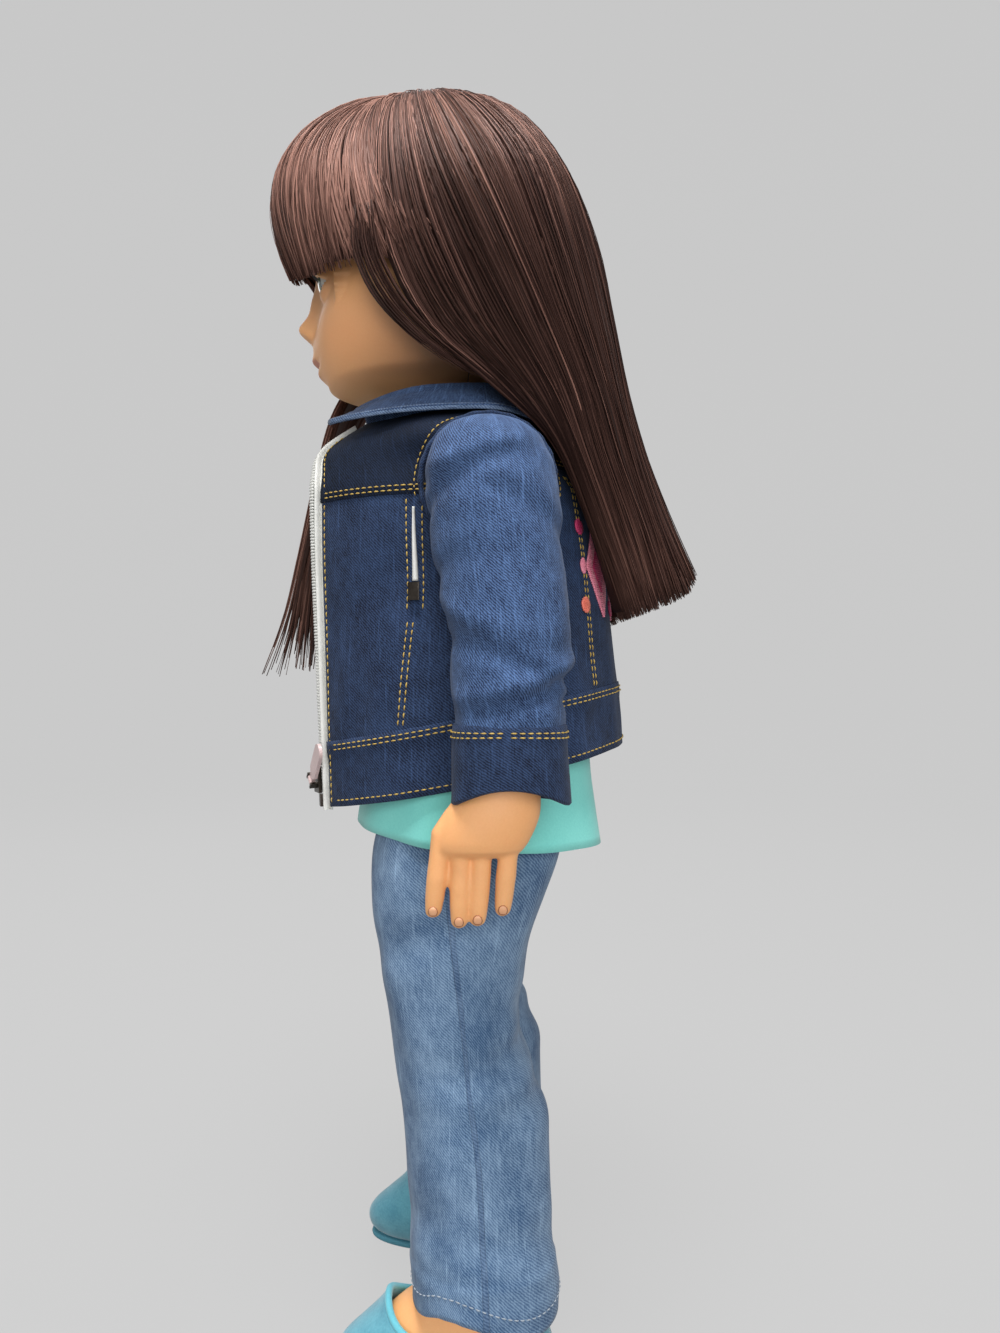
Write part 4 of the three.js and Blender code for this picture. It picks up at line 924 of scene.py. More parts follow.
def makeCollar():
    first = edgeAngle(jacket["neck"]) + 0.02
    last = fullTurn - first
    angles = [mix(first, last, k / collar["steps"]) for k in range(collar["steps"] + 1)]
    grid = [[collarPoint(angle, row / 28) for angle in angles] for row in range(29)]
    # the collar takes the lighter denim, painted light against the hair's shade
    piece = thicken(gridPiece("jacketCollar", grid, litSleeveDenim), collar["cloth"])
    fit(piece, "jacket_denim", "torso", "jacket_collar")
    rim = []
    wide, deep = (size * mm for size in collar["rim"])
    for angle in angles:
        out = (collarPoint(angle, 1.0) - collarPoint(angle, 0.9)).normalized()
        rim.append(ringAround(collarPoint(angle, 1.0, -0.6), out, upward, wide, deep, 8))
    edge = gridPiece("collarEdge", rim, edgeDenim, closed=True, caps=bothEnds)
    fit(edge, "jacket_denim", "torso")
    runs = []
    for turn in (1, -1):
        run = [(turn * mix(*collar["threadRun"], k / 40)) % fullTurn for k in range(41)]
        points = [collarPoint(angle, collar["threadAt"], collar["threadDrop"]) for angle in run]
        runs.append((points, [-upward] * len(points)))
    fit(sewPiece("collarStitches", runs, goldThread), "jacket_denim", "torso")


makeCollar()
print("collar made")


# Armhole seams: a ridge round each shoulder, with a row of thread beside it

armhole = {
    "radius": 22.0,
    "ridge": 1.0,
    "thread": 24.4,
    "threadRun": (-1.75, 1.9),
    "threadSize": 0.9,
    "across": 50.6,
    "steps": 96,
}


def armholeSpot(turn, radius):
    # turn 0 is the top and a quarter turn is the back; found on the jacket's own face
    y = shoulder["y"] + radius * sin(turn)
    z = shoulder["z"] + radius * cos(turn)
    front, back = rowAt(jacket["rows"], z)[1:]
    return acos(max(-0.98, min(0.98, -y / (front if y < 0 else back)))), z


def makeArmholes():
    rings = []
    for step in range(armhole["steps"] + 1):
        turn = fullTurn * step / armhole["steps"]
        out = Vector((0, sin(turn), cos(turn)))
        centre = at(armhole["across"], shoulder["y"], shoulder["z"]) + out * (armhole["radius"] * mm)
        size = armhole["ridge"] * (1 + 0.15 * sin(23 * turn)) * mm
        rings.append(ringAround(centre, alongX, out, 1.4 * size, size, 10))
    spots = [armholeSpot(mix(*armhole["threadRun"], step / 80), armhole["thread"]) for step in range(81)]
    run = [[jacketPoint(*spot, 0.2) for spot in spots], [jacketNormal(*spot) for spot in spots]]
    for side, flip in bothSides:
        ridge = gridPiece(side + "ArmholeSeam", sided(rings, flip), shadedJacketDenim, closed=True)
        fit(ridge, "jacket_denim", "torso")
    seams = sewPiece("armholeStitches", [run, sided(run, True)], goldThread, armhole["threadSize"])
    fit(seams, "jacket_denim", "torso")


makeArmholes()
print("armhole seams made")


# Zips: tape along each front edge, single teeth, and a short zip at each pocket

zipper = {
    "tape": 5.0,
    "pitch": 1.1,
    "tooth": 0.92,
    "reach": 1.9,
    "thick": 0.85,
    "low": 190.5,
    "high": 329,
    "firstTooth": 6,
    "roll": (1.3, 1.4),
    "rollInset": 1.5,
    "cloth": 0.5,
    "steps": 120,
}


def zipSpot(z, inset, lift=0.0):
    return jacketPoint(edgeAngle(z, inset), z, lift)


def toothRings(centre, along, out, sizes):
    side = along.cross(out).normalized()
    high, wide, deep = (size * mm for size in sizes)
    rings = []
    for share, swell in ((-0.5, 0.75), (-0.3, 1.0), (0.3, 1.0), (0.5, 0.75)):
        rings.append(ringAround(centre + along * (high * share), side, out, wide * swell, deep * swell, 8))
    return rings


def makeZips():
    low, high, width = zipper["low"], zipper["high"], zipper["tape"]
    tape = []
    hems = []
    inset = zipper["rollInset"]
    rollDeep, rollWide = (size * mm for size in zipper["roll"])
    for row in range(zipper["steps"] + 1):
        z = mix(low, high, row / zipper["steps"])
        tape.append([zipSpot(z, mix(0, width, k / 6), -0.5) for k in range(7)])
        out = jacketNormal(edgeAngle(z, inset), z)
        hems.append(ringAround(zipSpot(z, inset, 0.4), out, alongX, rollDeep, rollWide, 10))
    teeth = ManyTubes()
    first = low + zipper["firstTooth"]
    sizes = (zipper["tooth"], 0.5 * zipper["reach"] + 0.4, zipper["thick"])
    for k in range(int((high - first) / zipper["pitch"])):
        z = first + k * zipper["pitch"]
        centre = zipSpot(z, width + 0.5 * zipper["reach"], -0.2)
        along = (zipSpot(z + 0.5, width) - zipSpot(z - 0.5, width)).normalized()
        teeth.add(toothRings(centre, along, jacketNormal(edgeAngle(z, width), z), sizes))
    left = teeth.build("leftZipTeeth", toothPlastic)
    right = mirrorCopy(left, "rightZipTeeth")
    short = []
    for row in range(41):
        z = mix(pocketZip["low"], pocketZip["high"], row / 40)
        front = rowAt(jacket["rows"], z)[1]
        taper = mix(1.0, pocketZip["taper"], row / 40)
        line = []
        for k in range(7):
            y = pocketZip["back"] + pocketZip["half"] * (k - 3) / 3 * taper
            arch = pocketZip["lift"] * (1 - ((k - 3) / 3) ** 2)
            line.append(jacketPoint(acos(-y / front), z, 0.25 + arch))
        short.append(line)
    for side, flip, row in (("left", False, left), ("right", True, right)):
        strip = thicken(gridPiece(side + "ZipTape", sided(tape, flip), tapeCloth), zipper["cloth"])
        edge = gridPiece(side + "ZipTapeEdge", sided(hems, flip), tapeCloth, closed=True)
        pocket = thicken(gridPiece(side + "PocketZip", sided(short, flip), toothPlastic), pocketZip["cloth"])
        fit(strip, "zip_tape", "torso", side + "_zip_tape")
        fit(edge, "zip_tape", "torso")
        fit(row, "zip_teeth", "torso", side + "_zip_teeth")
        fit(pocket, "zip_tape", "torso", side + "_pocket_zip")


makeZips()
print("zips made")


# Motif on the back: three thread diamonds with dots between them

motif = {
    "centre": 276,
    "half": 17,
    "wide": 0.2,
    "core": 0.55,
    "apart": 0.47,
    "pitch": 0.75,
    "thread": (0.42, 0.3),
    "dot": 0.05,
    "smallDot": 0.035,
    "dotPitch": 0.6,
}
motifThreads = {
    "Rose": speckMaterial("rose thread", (240, 150, 170), (226, 128, 152), 0.5, 3000, 300, bump=0.3),
    "Magenta": speckMaterial("magenta thread", (204, 62, 112), (180, 46, 94), 0.5, 3000, 300, bump=0.3),
    "Coral": speckMaterial("coral thread", (240, 132, 110), (226, 112, 94), 0.5, 3000, 300, bump=0.3),
}


def satinRun(tubes, first, last, z):
    rings = []
    wide, deep = (size * mm for size in motif["thread"])
    for step in range(7):
        angle = mix(first, last, step / 6)
        out = jacketNormal(angle, z)
        arch = 0.35 + 0.4 * sin(pi * step / 6)
        along = jacketPoint(angle + 0.01, z) - jacketPoint(angle - 0.01, z)
        side = along.normalized().cross(out)
        rings.append(ringAround(jacketPoint(angle, z, arch), side, out, wide, deep, thread["sides"]))
    tubes.add(rings, draw.random())


def makeMotif():
    threads = {name: ManyTubes() for name in motifThreads}
    names = list(threads)
    for place in (-1, 0, 1):
        middle = pi + place * motif["apart"]
        count = int(2 * motif["half"] / motif["pitch"])
        for k in range(count + 1):
            rise = -motif["half"] + k * motif["pitch"]
            span = motif["wide"] * (1 - abs(rise) / (motif["half"] + 1))
            inner = 1 - abs(rise) / (motif["core"] * motif["half"])
            core = max(0.0, motif["core"] * motif["wide"] * inner)
            z = motif["centre"] + rise
            if core > 0.01:
                satinRun(threads["Magenta" if place else "Coral"], middle - core, middle + core, z)
            for turn in (-1, 1):
                satinRun(threads["Rose"], middle + turn * core, middle + turn * span, z)
    for place in (-1.5, -0.5, 0.5, 1.5):
        for level in (-0.8, 0, 0.8):
            middle = pi + place * motif["apart"]
            size = motif["dot"] if level else motif["smallDot"]
            tubes = threads[names[(int(2 * place) + int(level * 2)) % 3]]
            for k in range(-4, 5):
                span = size * sqrt(max(0.02, 1 - (k / 4.4) ** 2))
                z = motif["centre"] + level * motif["half"] + k * motif["dotPitch"]
                satinRun(tubes, middle - span, middle + span, z)
    for name, tubes in threads.items():
        fit(tubes.build("motif" + name, motifThreads[name]), "jacket_denim", "torso")


makeMotif()
print("motif sewn")


# Sleeves and cuffs, laid out from the shoulder

sleeve = {
    # height, centre across, centre back, half width, half depth
    "rows": [
        (-81, 10.9, 7.0, 16.2, 17.0),
        (-70.4, 10.4, 7.0, 16.8, 17.8),
        (-58, 9.2, 7.0, 17.6, 18.6),
        (-42.6, 7.6, 5.9, 18.0, 19.2),
        (-24, 4.6, 3.3, 18.6, 20.4),
        (0, 1.2, 1.0, 19.6, 20.6),
        (9.2, 0.0, 0.3, 16.9, 18.2),
        (16, -1.1, 0.0, 10.4, 12.4),
        (19, -1.1, 0.0, 3.6, 4.8),
        (19.6, -1.1, 0.0, 0.4, 0.4),
    ],
    "top": 19.6,
    "bottom": -81,
    "cloth": 1.5,
    "side": -9.7,
    "sideSlope": 0.0498,
}
# Creases at the elbow and above the cuff: height, turn, tilt, depth, spread
creases = [
    (-69, 0.6, 6.0, 2.2, 2.8),
    (-75, 2.4, -4.0, 1.8, 2.2),
    (-61, 0.2, -7.0, 1.5, 3.0),
    (-57, 3.4, 6.0, 1.6, 3.2),
    (-50, 5.4, -7.0, 1.3, 3.4),
    (-36, 4.4, 8.0, 1.0, 4.0),
    (-8, 5.3, 10.0, 1.1, 3.4),
    (-16, 0.9, -10.0, 0.9, 4.0),
    (2, 0.1, 6.0, 0.8, 3.0),
]


def armPoint(x, y, z):
    return at(shoulder["x"] + x, shoulder["y"] + y, shoulder["z"] + z)


def pressedIn(across, side):
    # cloth that meets its neighbour flattens against it
    return side + 2 * exp((across - side - 2) / 2) if across < side + 2 else across


def creaseDepth(creases, angle, z, power, bulge):
    # each crease is a valley with a softer swell beside it
    depth = 0.0
    for height, turn, tilt, deep, spread in creases:
        reach = (0.5 + 0.5 * cos(angle - turn)) ** power
        level = height + tilt * sin(angle - turn)
        depth -= deep * reach * hump(z, level, spread)
        depth += 0.6 * deep * reach * hump(z, level + bulge * spread, spread)
    return depth


def sleeveFold(angle, z):
    depth = creaseDepth(creases, angle, z, 1, 1.7)
    spot = (18 * cos(angle), 18 * sin(angle), 0.6 * z)
    return depth + 0.6 * ripple(spot, 10.0) + 0.35 * ripple(spot, 4.5, 7.0)


def sleevePoint(angle, z, lift=0.0):
    # angle 0 points away from the body, and a quarter turn points back
    x, y, wide, deep = rowAt(sleeve["rows"], z)
    room = min(1.0, wide / 14)
    grow = room * sleeveFold(angle, z) + lift
    across = x + (wide + grow) * cos(angle)
    across = pressedIn(across, sleeve["side"] - min(z, 0) * sleeve["sideSlope"])
    return armPoint(across, y + (deep + grow) * sin(angle), z)


cuff = {
    "top": -79,
    "bottom": -102.5,
    "wide": 16.7,
    "deep": 17.6,
    "flare": 0.9,
    "wall": 2.3,
    "x": 10.9,
    "y": 7.1,
    "arch": 6.0,
    "lip": 0.7,
    "threadDrops": (1.8, 3.5),
}


def cuffPoint(angle, z, inset=0.0):
    share = (z - cuff["top"]) / (cuff["bottom"] - cuff["top"])
    wobble = 0.7 * ripple((14 * cos(angle), 14 * sin(angle), 0.4 * z), 9.0, 5.0)
    wide = cuff["wide"] + cuff["flare"] * share + wobble - inset
    deep = cuff["deep"] + cuff["flare"] * share + wobble - inset
    x = cuff["x"] + 0.6 * share + wide * cos(angle)
    side = sleeve["side"] - z * sleeve["sideSlope"] + inset
    rise = cuff["arch"] * share * max(cos(angle), 0) ** 2
    return armPoint(max(x, side), cuff["y"] + deep * sin(angle), z + rise)


def cuffGrid():
    top, bottom, wall, lip = cuff["top"], cuff["bottom"], cuff["wall"], cuff["lip"]
    profile = [(mix(bottom, top, k / 12), 0.0) for k in range(13)]
    profile += [(top + lip, 0.3 * wall), (top + lip, 0.7 * wall)]
    profile += [(mix(top, bottom, k / 12), wall) for k in range(13)]
    profile += [(bottom - lip, 0.7 * wall), (bottom - lip, 0.3 * wall), (bottom, 0.0)]
    return [[cuffPoint(angle, z, inset) for angle in turns(72)] for z, inset in profile]


def makeSleeves():
    grid = []
    for row in range(85):
        z = mix(sleeve["bottom"], sleeve["top"], (row / 84) ** 0.86)
        grid.append([sleevePoint(angle, z) for angle in turns(84)])
    cuffs = cuffGrid()
    rounds = [fullTurn * step / 120 for step in range(121)]
    outs = [Vector((cos(angle), sin(angle), 0)) for angle in rounds]
    for side, flip in bothSides:
        body = "arm_" + side
        shell = sided(grid, flip)
        piece = gridPiece(side + "SleeveCloth", shell, litSleeveDenim, closed=True, caps=(False, True))
        fit(thicken(piece, sleeve["cloth"]), "jacket_denim", body, side + "_sleeve")
        band = gridPiece(side + "CuffCloth", sided(cuffs, flip), shadedJacketDenim, closed=True)
        fit(band, "jacket_denim", body, side + "_cuff")
        runs = []
        for drop in cuff["threadDrops"]:
            points = [cuffPoint(angle, cuff["top"] - drop, -0.15) for angle in rounds]
            runs.append(sided([points, outs], flip))
        fit(sewPiece(side + "CuffStitches", runs, goldThread), "jacket_denim", body)


makeSleeves()
print("sleeves made")


# Stuffed torso, top and jeans

def loftGrid(rows, low, high, steps, count, grow=0.0, fold=None, square=1.0):
    # rows are (height, centre across, centre back, half width, front, back); low may follow the angle
    grid = []
    for step in range(steps + 1):
        ring = []
        for angle in turns(count):
            z = mix(low(angle) if callable(low) else low, high, step / steps)
            out = grow + (fold(angle, z) if fold else 0)
            ring.append(ovalPoint(rowAt(rows, z), angle, z, out, square))
        grid.append(ring)
    return grid


torso = {
    # height, centre across, centre back, half width, front, back
    "rows": [
        (184, 0, 0, 36, 28, 28),
        (187, 0, 0, 43, 34, 34),
        (203.4, 0, 0, 46, 37.5, 37.5),
        (241.8, 0, 0, 43.3, 35.4, 37.4),
        (289.2, 0, 0, 42, 35.4, 37.4),
        (308.4, 0, -0.9, 37.8, 31.5, 31.5),
        (318.8, 0, -3, 29.4, 26.3, 26.3),
        (326.2, 0, -4.5, 21, 20.3, 20.3),
        (333.6, 0, -6, 17.5, 17.5, 17.5),
    ],
    "low": 184,
    "high": 333.4,
    "seatLow": 186,
    "seatRise": 228,
    "seatEase": 1.9,
    "seatCloth": 1.2,
}
top = {
    "rows": [
        (176, 0, 0, 51.6, 45.4, 46),
        (190, 0, 0, 50.8, 44, 43.8),
        (203.4, 0, 0, 49.6, 41, 42),
        (241.8, 0, 0, 46, 39, 41),
        (289.2, 0, 0, 44.6, 38.6, 40.4),
        (308.4, 0, -0.9, 41, 35, 35),
        (318.8, 0, -3, 32.4, 29.6, 29.6),
        (325, 0, -4.2, 25.6, 24, 24),
    ],
    "hem": 180.6,
    "hemSlope": -0.075,
    "hemReach": (44, 46),
    "neck": 325,
    "cloth": 1.1,
    "square": 0.84,
    "foldFade": (230, 182),
    "fold": 0.8,
    "rumple": 0.4,
}


def topFold(angle, z):
    low = ease(*top["foldFade"], z)
    wave = sin(5 * angle + 0.9) + 0.7 * sin(9 * angle + 2.2)
    spot = (40 * sin(angle), 40 * cos(angle), z)
    return top["fold"] * low * wave + top["rumple"] * ripple(spot, 18.0)


def topHem(angle):
    reach = top["hemReach"][0 if cos(angle) > 0 else 1]
    return top["hem"] - top["hemSlope"] * reach * cos(angle) + 0.5 * sin(3 * angle)


def makeTorso():
    grid = loftGrid(torso["rows"], torso["low"], torso["high"], 40, 64)
    body = gridPiece("torsoCloth", grid, bodyCloth, closed=True, caps=bothEnds)
    fit(body, "body_cloth", "torso", "torso_skin", "torso_stuffing")
    grid = loftGrid(top["rows"], topHem, top["neck"], 48, 96, fold=topFold, square=top["square"])
    piece = thicken(gridPiece("topCloth", grid, jerseyCloth, closed=True), top["cloth"])
    fit(piece, "shirt_jersey", "torso", "shirt_body")


jeans = {
    "rows": [
        (33, 37.4, -4, 24.0, 16.8, 31.6),
        (63, 35.1, -4, 22.6, 19.4, 29.4),
        (91, 32.9, -4, 22.2, 21.6, 27.4),
        (105, 31.8, -4, 22.3, 24.2, 22.6),
        (119, 30.7, -4, 22.6, 26.4, 19.8),
        (143, 28.8, -4, 23.6, 30.4, 21.6),
        (160, 27.5, -4, 24.4, 33.0, 27.6),
        (175, 26.0, -4, 24.0, 33.2, 33.0),
        (189, 25.0, -4, 22.6, 30.0, 35.0),
    ],
    "hem": 35,
    "top": 189,
    "innerSide": 6.8,
    "cloth": 1.5,
    "bend": (182, 140),
    "rearDrop": 10.5,
    "foreDrop": 5.5,
    "hemThread": 6.6,
}
# Pulls and pinches: height, turn from the front, tilt, depth, spread
jeansPulls = [
    (112, 2.6, 5.0, 2.0, 6.0),
    (122, 3.6, -5.0, 1.4, 5.0),
    (98, 3.3, 3.0, 1.2, 6.0),
    (150, 1.0, 9.0, 0.8, 7.0),
    (52, 2.4, -6.0, 0.9, 6.0),
    (44, 4.2, 5.0, 1.0, 5.0),
    (60, 0.6, 7.0, 0.7, 7.0),
]


def jeansFold(angle, z):
    spot = (24 * sin(angle), 24 * cos(angle), 0.35 * z)
    rumple = 0.9 * ripple(spot, 11.0) * ease(30, 60, z)
    flare = 0.5 * sin(3 * angle + 0.6) * ease(80, 40, z)
    return creaseDepth(jeansPulls, angle, z, 2, -1.6) + rumple + flare


def jeansHem(angle):
    rear = jeans["rearDrop"] * ease(0.2, -0.9, cos(angle))
    fore = jeans["foreDrop"] * ease(0.4, 1, cos(angle))
    return jeans["hem"] - 1.6 * hump(sin(angle), 1, 0.5) - rear - fore


def jeansPoint(angle, z, lift=0.0):
    x, y, wide, front, back = rowAt(jeans["rows"], z)
    reach = front if cos(angle) > 0 else back
    out = jeansFold(angle, z) + lift + 0.5 * ease(43.5, 42.5, z)
    across = pressedIn(x + (wide + out) * sin(angle), jeans["innerSide"] * ease(110, 150, z))
    return at(across, y - (reach + out) * cos(angle), z)


jeansSeam = {
    # height, turn from the front
    "line": [(28, 1.82), (74, 1.762), (106, 1.64), (155, 1.449), (192, 1.38)],
    "half": 0.85,
    "lift": 0.35,
    "cloth": 0.9,
    "threadSize": 0.9,
}
crotch = {"half": 6.7, "low": 147, "high": 187, "back": -3.5, "near": 17, "far": 33, "steps": 44}


def makeJeans():
    grid = []
    for row in range(111):
        share = row / 110
        grid.append([jeansPoint(angle, mix(jeansHem(angle), jeans["top"], share)) for angle in turns(96)])
    rounds = [fullTurn * step / 120 for step in range(121)]
    points = [jeansPoint(angle, jeansHem(angle) + jeans["hemThread"], 0.1) for angle in rounds]
    outs = [Vector((sin(angle), -cos(angle), 0)) for angle in rounds]
    strip = []
    for row in range(141):
        z = mix(jeansHem(jeansSeam["line"][0][1]) + 0.3, jeans["top"] - 1, row / 140)
        middle = rowAt(jeansSeam["line"], z)[0]
        line = []
        for k in range(5):
            turn = middle + jeansSeam["half"] * (k - 2) / 2 / 26
            line.append(jeansPoint(turn, z, jeansSeam["lift"] * (1 - 0.2 * abs(k - 2))))
        strip.append(line)
    for side, flip in bothSides:
        piece = gridPiece(side + "JeansCloth", sided(grid, flip), jeansDenim, closed=True)
        thicken(piece, jeans["cloth"])
        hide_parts(side + "_jeans_leg")
        seam = thicken(gridPiece(side + "JeansSeam", sided(strip, flip), seamDenim), jeansSeam["cloth"])
        runs = [sided([points, outs], flip)]
        hem = sewPiece(side + "JeansStitches", runs, paleThread, jeansSeam["threadSize"])
        for part in (piece, seam, hem):
            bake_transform(part)
    grid = loftGrid(torso["rows"], torso["seatLow"], torso["seatRise"], 14, 72, grow=torso["seatEase"])
    seat = thicken(gridPiece("jeansSeatCloth", grid, jeansDenim, closed=True), torso["seatCloth"])
    fit(seat, "jeans_denim", "torso", "jeans_seat")
    grid = []
    tall = crotch["high"] - crotch["low"]
    for step in range(crotch["steps"] + 1):
        angle = pi * step / crotch["steps"]
        z = crotch["high"] - tall * sin(angle) ** 0.7
        rise = (z - crotch["low"]) / tall
        y = crotch["back"] - mix(crotch["near"], crotch["far"], rise ** 2) * cos(angle)
        grid.append([at(crotch["half"] * (k - 4) / 4, y, z - 0.4 * abs(k - 4) / 4) for k in range(9)])
    saddle = thicken(gridPiece("jeansCrotchCloth", grid, jeansDenim), jeans["cloth"])
    fit(saddle, "jeans_denim", "torso", "jeans_crotch")


makeTorso()
makeJeans()
print("torso, top and jeans made")


# Vinyl: skin with painted lips, blush and shade

def makeVinyl():
    material, tree, shader = newMaterial("skin vinyl", 0.52)
    shade = addSpeck(tree, (243, 179, 120), (237, 170, 110), 1500, 35)["Color"]
    # the shade layer is painted shade from the hair and the jaw
    for layer, paint in (("shade", (112, 78, 52)), ("blush", (206, 128, 84)), ("lips", (196, 112, 92))):
        shade = mixColour(tree, attribute(tree, layer), shade, colour(*paint))
    tree.links.new(shade, shader.inputs["Base Color"])
    setInputs(shader, {"Subsurface Weight": 0.12, "Subsurface Scale": 1.0})
    setInputs(shader, {"Subsurface Radius": (0.004, 0.002, 0.001)})
    return material


skinVinyl = makeVinyl()
nailVinyl = speckMaterial("nail vinyl", (226, 170, 128), (218, 158, 118), 0.4, 1500, 60)
# the darker crease round each nail is painted shade
nailCreaseShade = speckMaterial("nail crease shade", (176, 112, 74), (168, 104, 68), 0.6, 1500, 60)


def fuse(name, shapes, voxel, smoothing, material):
    # joins closed shapes into one smooth skin
    vertices, faces = [], []
    for points, polygons in shapes:
        start = len(vertices)
        vertices += points
        faces += [tuple(k + start for k in polygon) for polygon in polygons]
    rough = newPiece(name + "Rough", vertices, faces)
    remesh = rough.modifiers.new("fuse", "REMESH")
    remesh.mode = "VOXEL"
    remesh.voxel_size = voxel * mm
    soften = rough.modifiers.new("soften", "SMOOTH")
    soften.factor = 0.5
    soften.iterations = smoothing
    bpy.context.view_layer.update()
    mesh = bpy.data.meshes.new_from_object(rough.evaluated_get(bpy.context.evaluated_depsgraph_get()))
    mesh.name = name
    piece = show(bpy.data.objects.new(name, mesh))
    bpy.data.objects.remove(rough)
    mesh.materials.clear()
    mesh.materials.append(material)
    mesh.shade_smooth()
    return piece


def capsule(points, radii):
    # round-ended tube through points, a little thinner sideways
    along = (points[1] - points[0]).normalized()
    ends = (points[-1] - points[-2]).normalized()
    rounding = (0.25, 0.7, 1.1)
    spots = [(points[0] - along * (radii[0] * cos(t)), radii[0] * sin(t)) for t in rounding]
    spots += list(zip(points, radii))
    for t in rounding[::-1]:
        spots.append((points[-1] + ends * (radii[-1] * cos(t)), radii[-1] * sin(t)))
    thin, corners = hand["flatten"], hand["corners"]
    return tubeFaces([ringAround(spot, alongX, alongY, thin * size, size, corners) for spot, size in spots])


# Arms and hands, laid out from the shoulder

arm = {
    # height, centre across, centre back, half width, half depth
    "rows": [
        (-119, 12.4, -3.4, 3.4, 12.0),
        (-117, 12.4, -2.5, 6.4, 13.5),
        (-113, 12.4, -1.0, 7.8, 14.6),
        (-106, 12.2, 1.5, 8.8, 14.8),
        (-98, 11.7, 4.3, 9.2, 12.2),
        (-92, 11.2, 5.2, 10.0, 11.6),
        (-82, 10.5, 6.0, 11.4, 12.4),
        (-62, 9.0, 4.6, 11.9, 13.0),
        (-40, 6.6, 3.0, 12.4, 13.5),
        (-15.6, 3.5, 1.0, 13.2, 14.2),
        (0, 1.5, 0.0, 12.4, 14.2),
        (9, 1.5, 0.0, 9.4, 10.8),
        (14, 1.5, 0.0, 4.0, 4.4),
    ],
    "inner": -6.6,
}
# Fingers: base back, base height, tip back, tip height, radius
fingers = [
    (-13.6, -111, -16.4, -135.6, 3.2),
    (-7.7, -112, -8.5, -138.8, 3.25),
    (-1.2, -112, -2.8, -138.2, 3.2),
    (7.2, -110, 4.9, -135.2, 3.1),
]
hand = {
    "across": 12.8,
    "bend": 2.2,
    "flatten": 0.95,
    "corners": 14,
    # along each finger, and how full it is there; the first point is rooted in the palm
    "shares": (-0.25, 0, 0.3, 0.6, 0.85, 1),
    "swell": (1.05, 1.05, 1.0, 1.03, 0.95, 0.84),
    "root": 0.7,
    "thumb": [(9.5, -3, -105), (7.6, -8.4, -111), (6.4, -12.8, -117), (6.0, -15.0, -123)],
    "thumbRadii": (4.6, 4.4, 3.6, 3.0),
    "voxel": 0.6,
    "smoothing": 7,
}
nail = {
    "long": 2.8,
    "half": 1.35,
    "rise": 0.22,
    "across": 10.8,
    # along the nail, and how full it is there
    "shape": [(0.0, 0.3), (0.12, 0.75), (0.45, 1.0), (0.8, 0.8), (1.0, 0.3)],
}
# Each nail and the darker ring of painted shade in the crease that frames it: name, growth, how far it sinks,
# finish
nailKinds = [("Nails", 1.0, 0.0, nailVinyl), ("NailCreases", 1.16, 0.14, nailCreaseShade)]


def armShapes():
    rings = []
    for step in range(57):
        z = mix(arm["rows"][0][0], arm["rows"][-1][0], step / 56)
        x, y, wide, deep = rowAt(arm["rows"], z)
        ring = ringAround(armPoint(x, y, z), Vector((mm, 0, 0)), Vector((0, mm, 0)), wide, deep, 28)
        least = (shoulder["x"] + arm["inner"] + 0.05 * max(-z - 20, 0)) * mm
        rings.append([Vector((max(point.x, least), point.y, point.z)) for point in ring])
    shapes = [tubeFaces(rings)]
    for baseBack, baseHigh, tipBack, tipHigh, radius in fingers:
        points = []
        for share in hand["shares"]:
            bend = hand["bend"] * share ** 2
            back = mix(baseBack, tipBack, share) if share >= 0 else hand["root"] * baseBack
            points.append(armPoint(hand["across"] - bend, back, mix(baseHigh, tipHigh, share)))
        shapes.append(capsule(points, [radius * mm * size for size in hand["swell"]]))
    points = [armPoint(*spot) for spot in hand["thumb"]]
    return shapes + [capsule(points, [radius * mm for radius in hand["thumbRadii"]])]


def makeArms():
    plain = fuse("leftArmVinyl", armShapes(), hand["voxel"], hand["smoothing"], skinVinyl)
    for side, flip in bothSides:
        piece = mirrorCopy(plain, "rightArmVinyl") if flip else plain
        fit(piece, "skin_vinyl", "arm_" + side, side + "_arm")
        for kind, grow, sink, material in nailKinds:
            tubes = ManyTubes()
            for tipBack, tipHigh, radius in (finger[2:] for finger in fingers):
                rings = []
                for share, swell in nail["shape"]:
                    z = tipHigh + nail["long"] * (share - 0.5) * grow
                    x = nail["across"] + 0.86 * radius - 0.9 * (1 - share) ** 2 - sink
                    wide = nail["half"] * swell * grow * mm
                    rise = nail["rise"] * swell * mm
                    ring = ringAround(armPoint(x, tipBack, z), alongY, alongX, wide, rise, 10)
                    rings.append(flipped(ring)[::-1] if flip else ring)
                tubes.add(rings)
            fit(tubes.build(side + kind, material), "skin_vinyl", "arm_" + side)


makeArms()
print("arms made")


# Legs, feet and shoes

leg = {
    "rows": [
        (3.1, 39.8, -4, 12.0, 36.6, 24.4),
        (9.7, 39.3, -4, 13.6, 39.6, 27.2),
        (16.9, 38.7, -4, 13.2, 33.0, 25.0),
        (24.1, 38.1, -4, 12.0, 24.0, 22.6),
        (31.4, 37.6, -4, 11.6, 13.0, 19.0),
        (36.0, 37.2, -4, 12.0, 8.4, 17.2),
        (60.0, 35.3, -4, 15.0, 10.8, 20.0),
        (91.2, 32.9, -4, 16.2, 16.2, 18.4),
        (118.7, 30.8, -4, 19.0, 20.4, 17.0),
        (142.8, 28.9, -4, 21.2, 24.6, 19.0),
        (160, 27.5, -4, 22.2, 22.6, 22.6),
        (175, 27.5, -4, 16.6, 17.0, 17.0),
        (181, 27.5, -4, 7.0, 7.0, 7.0),
    ],
    "inner": 7.2,
}
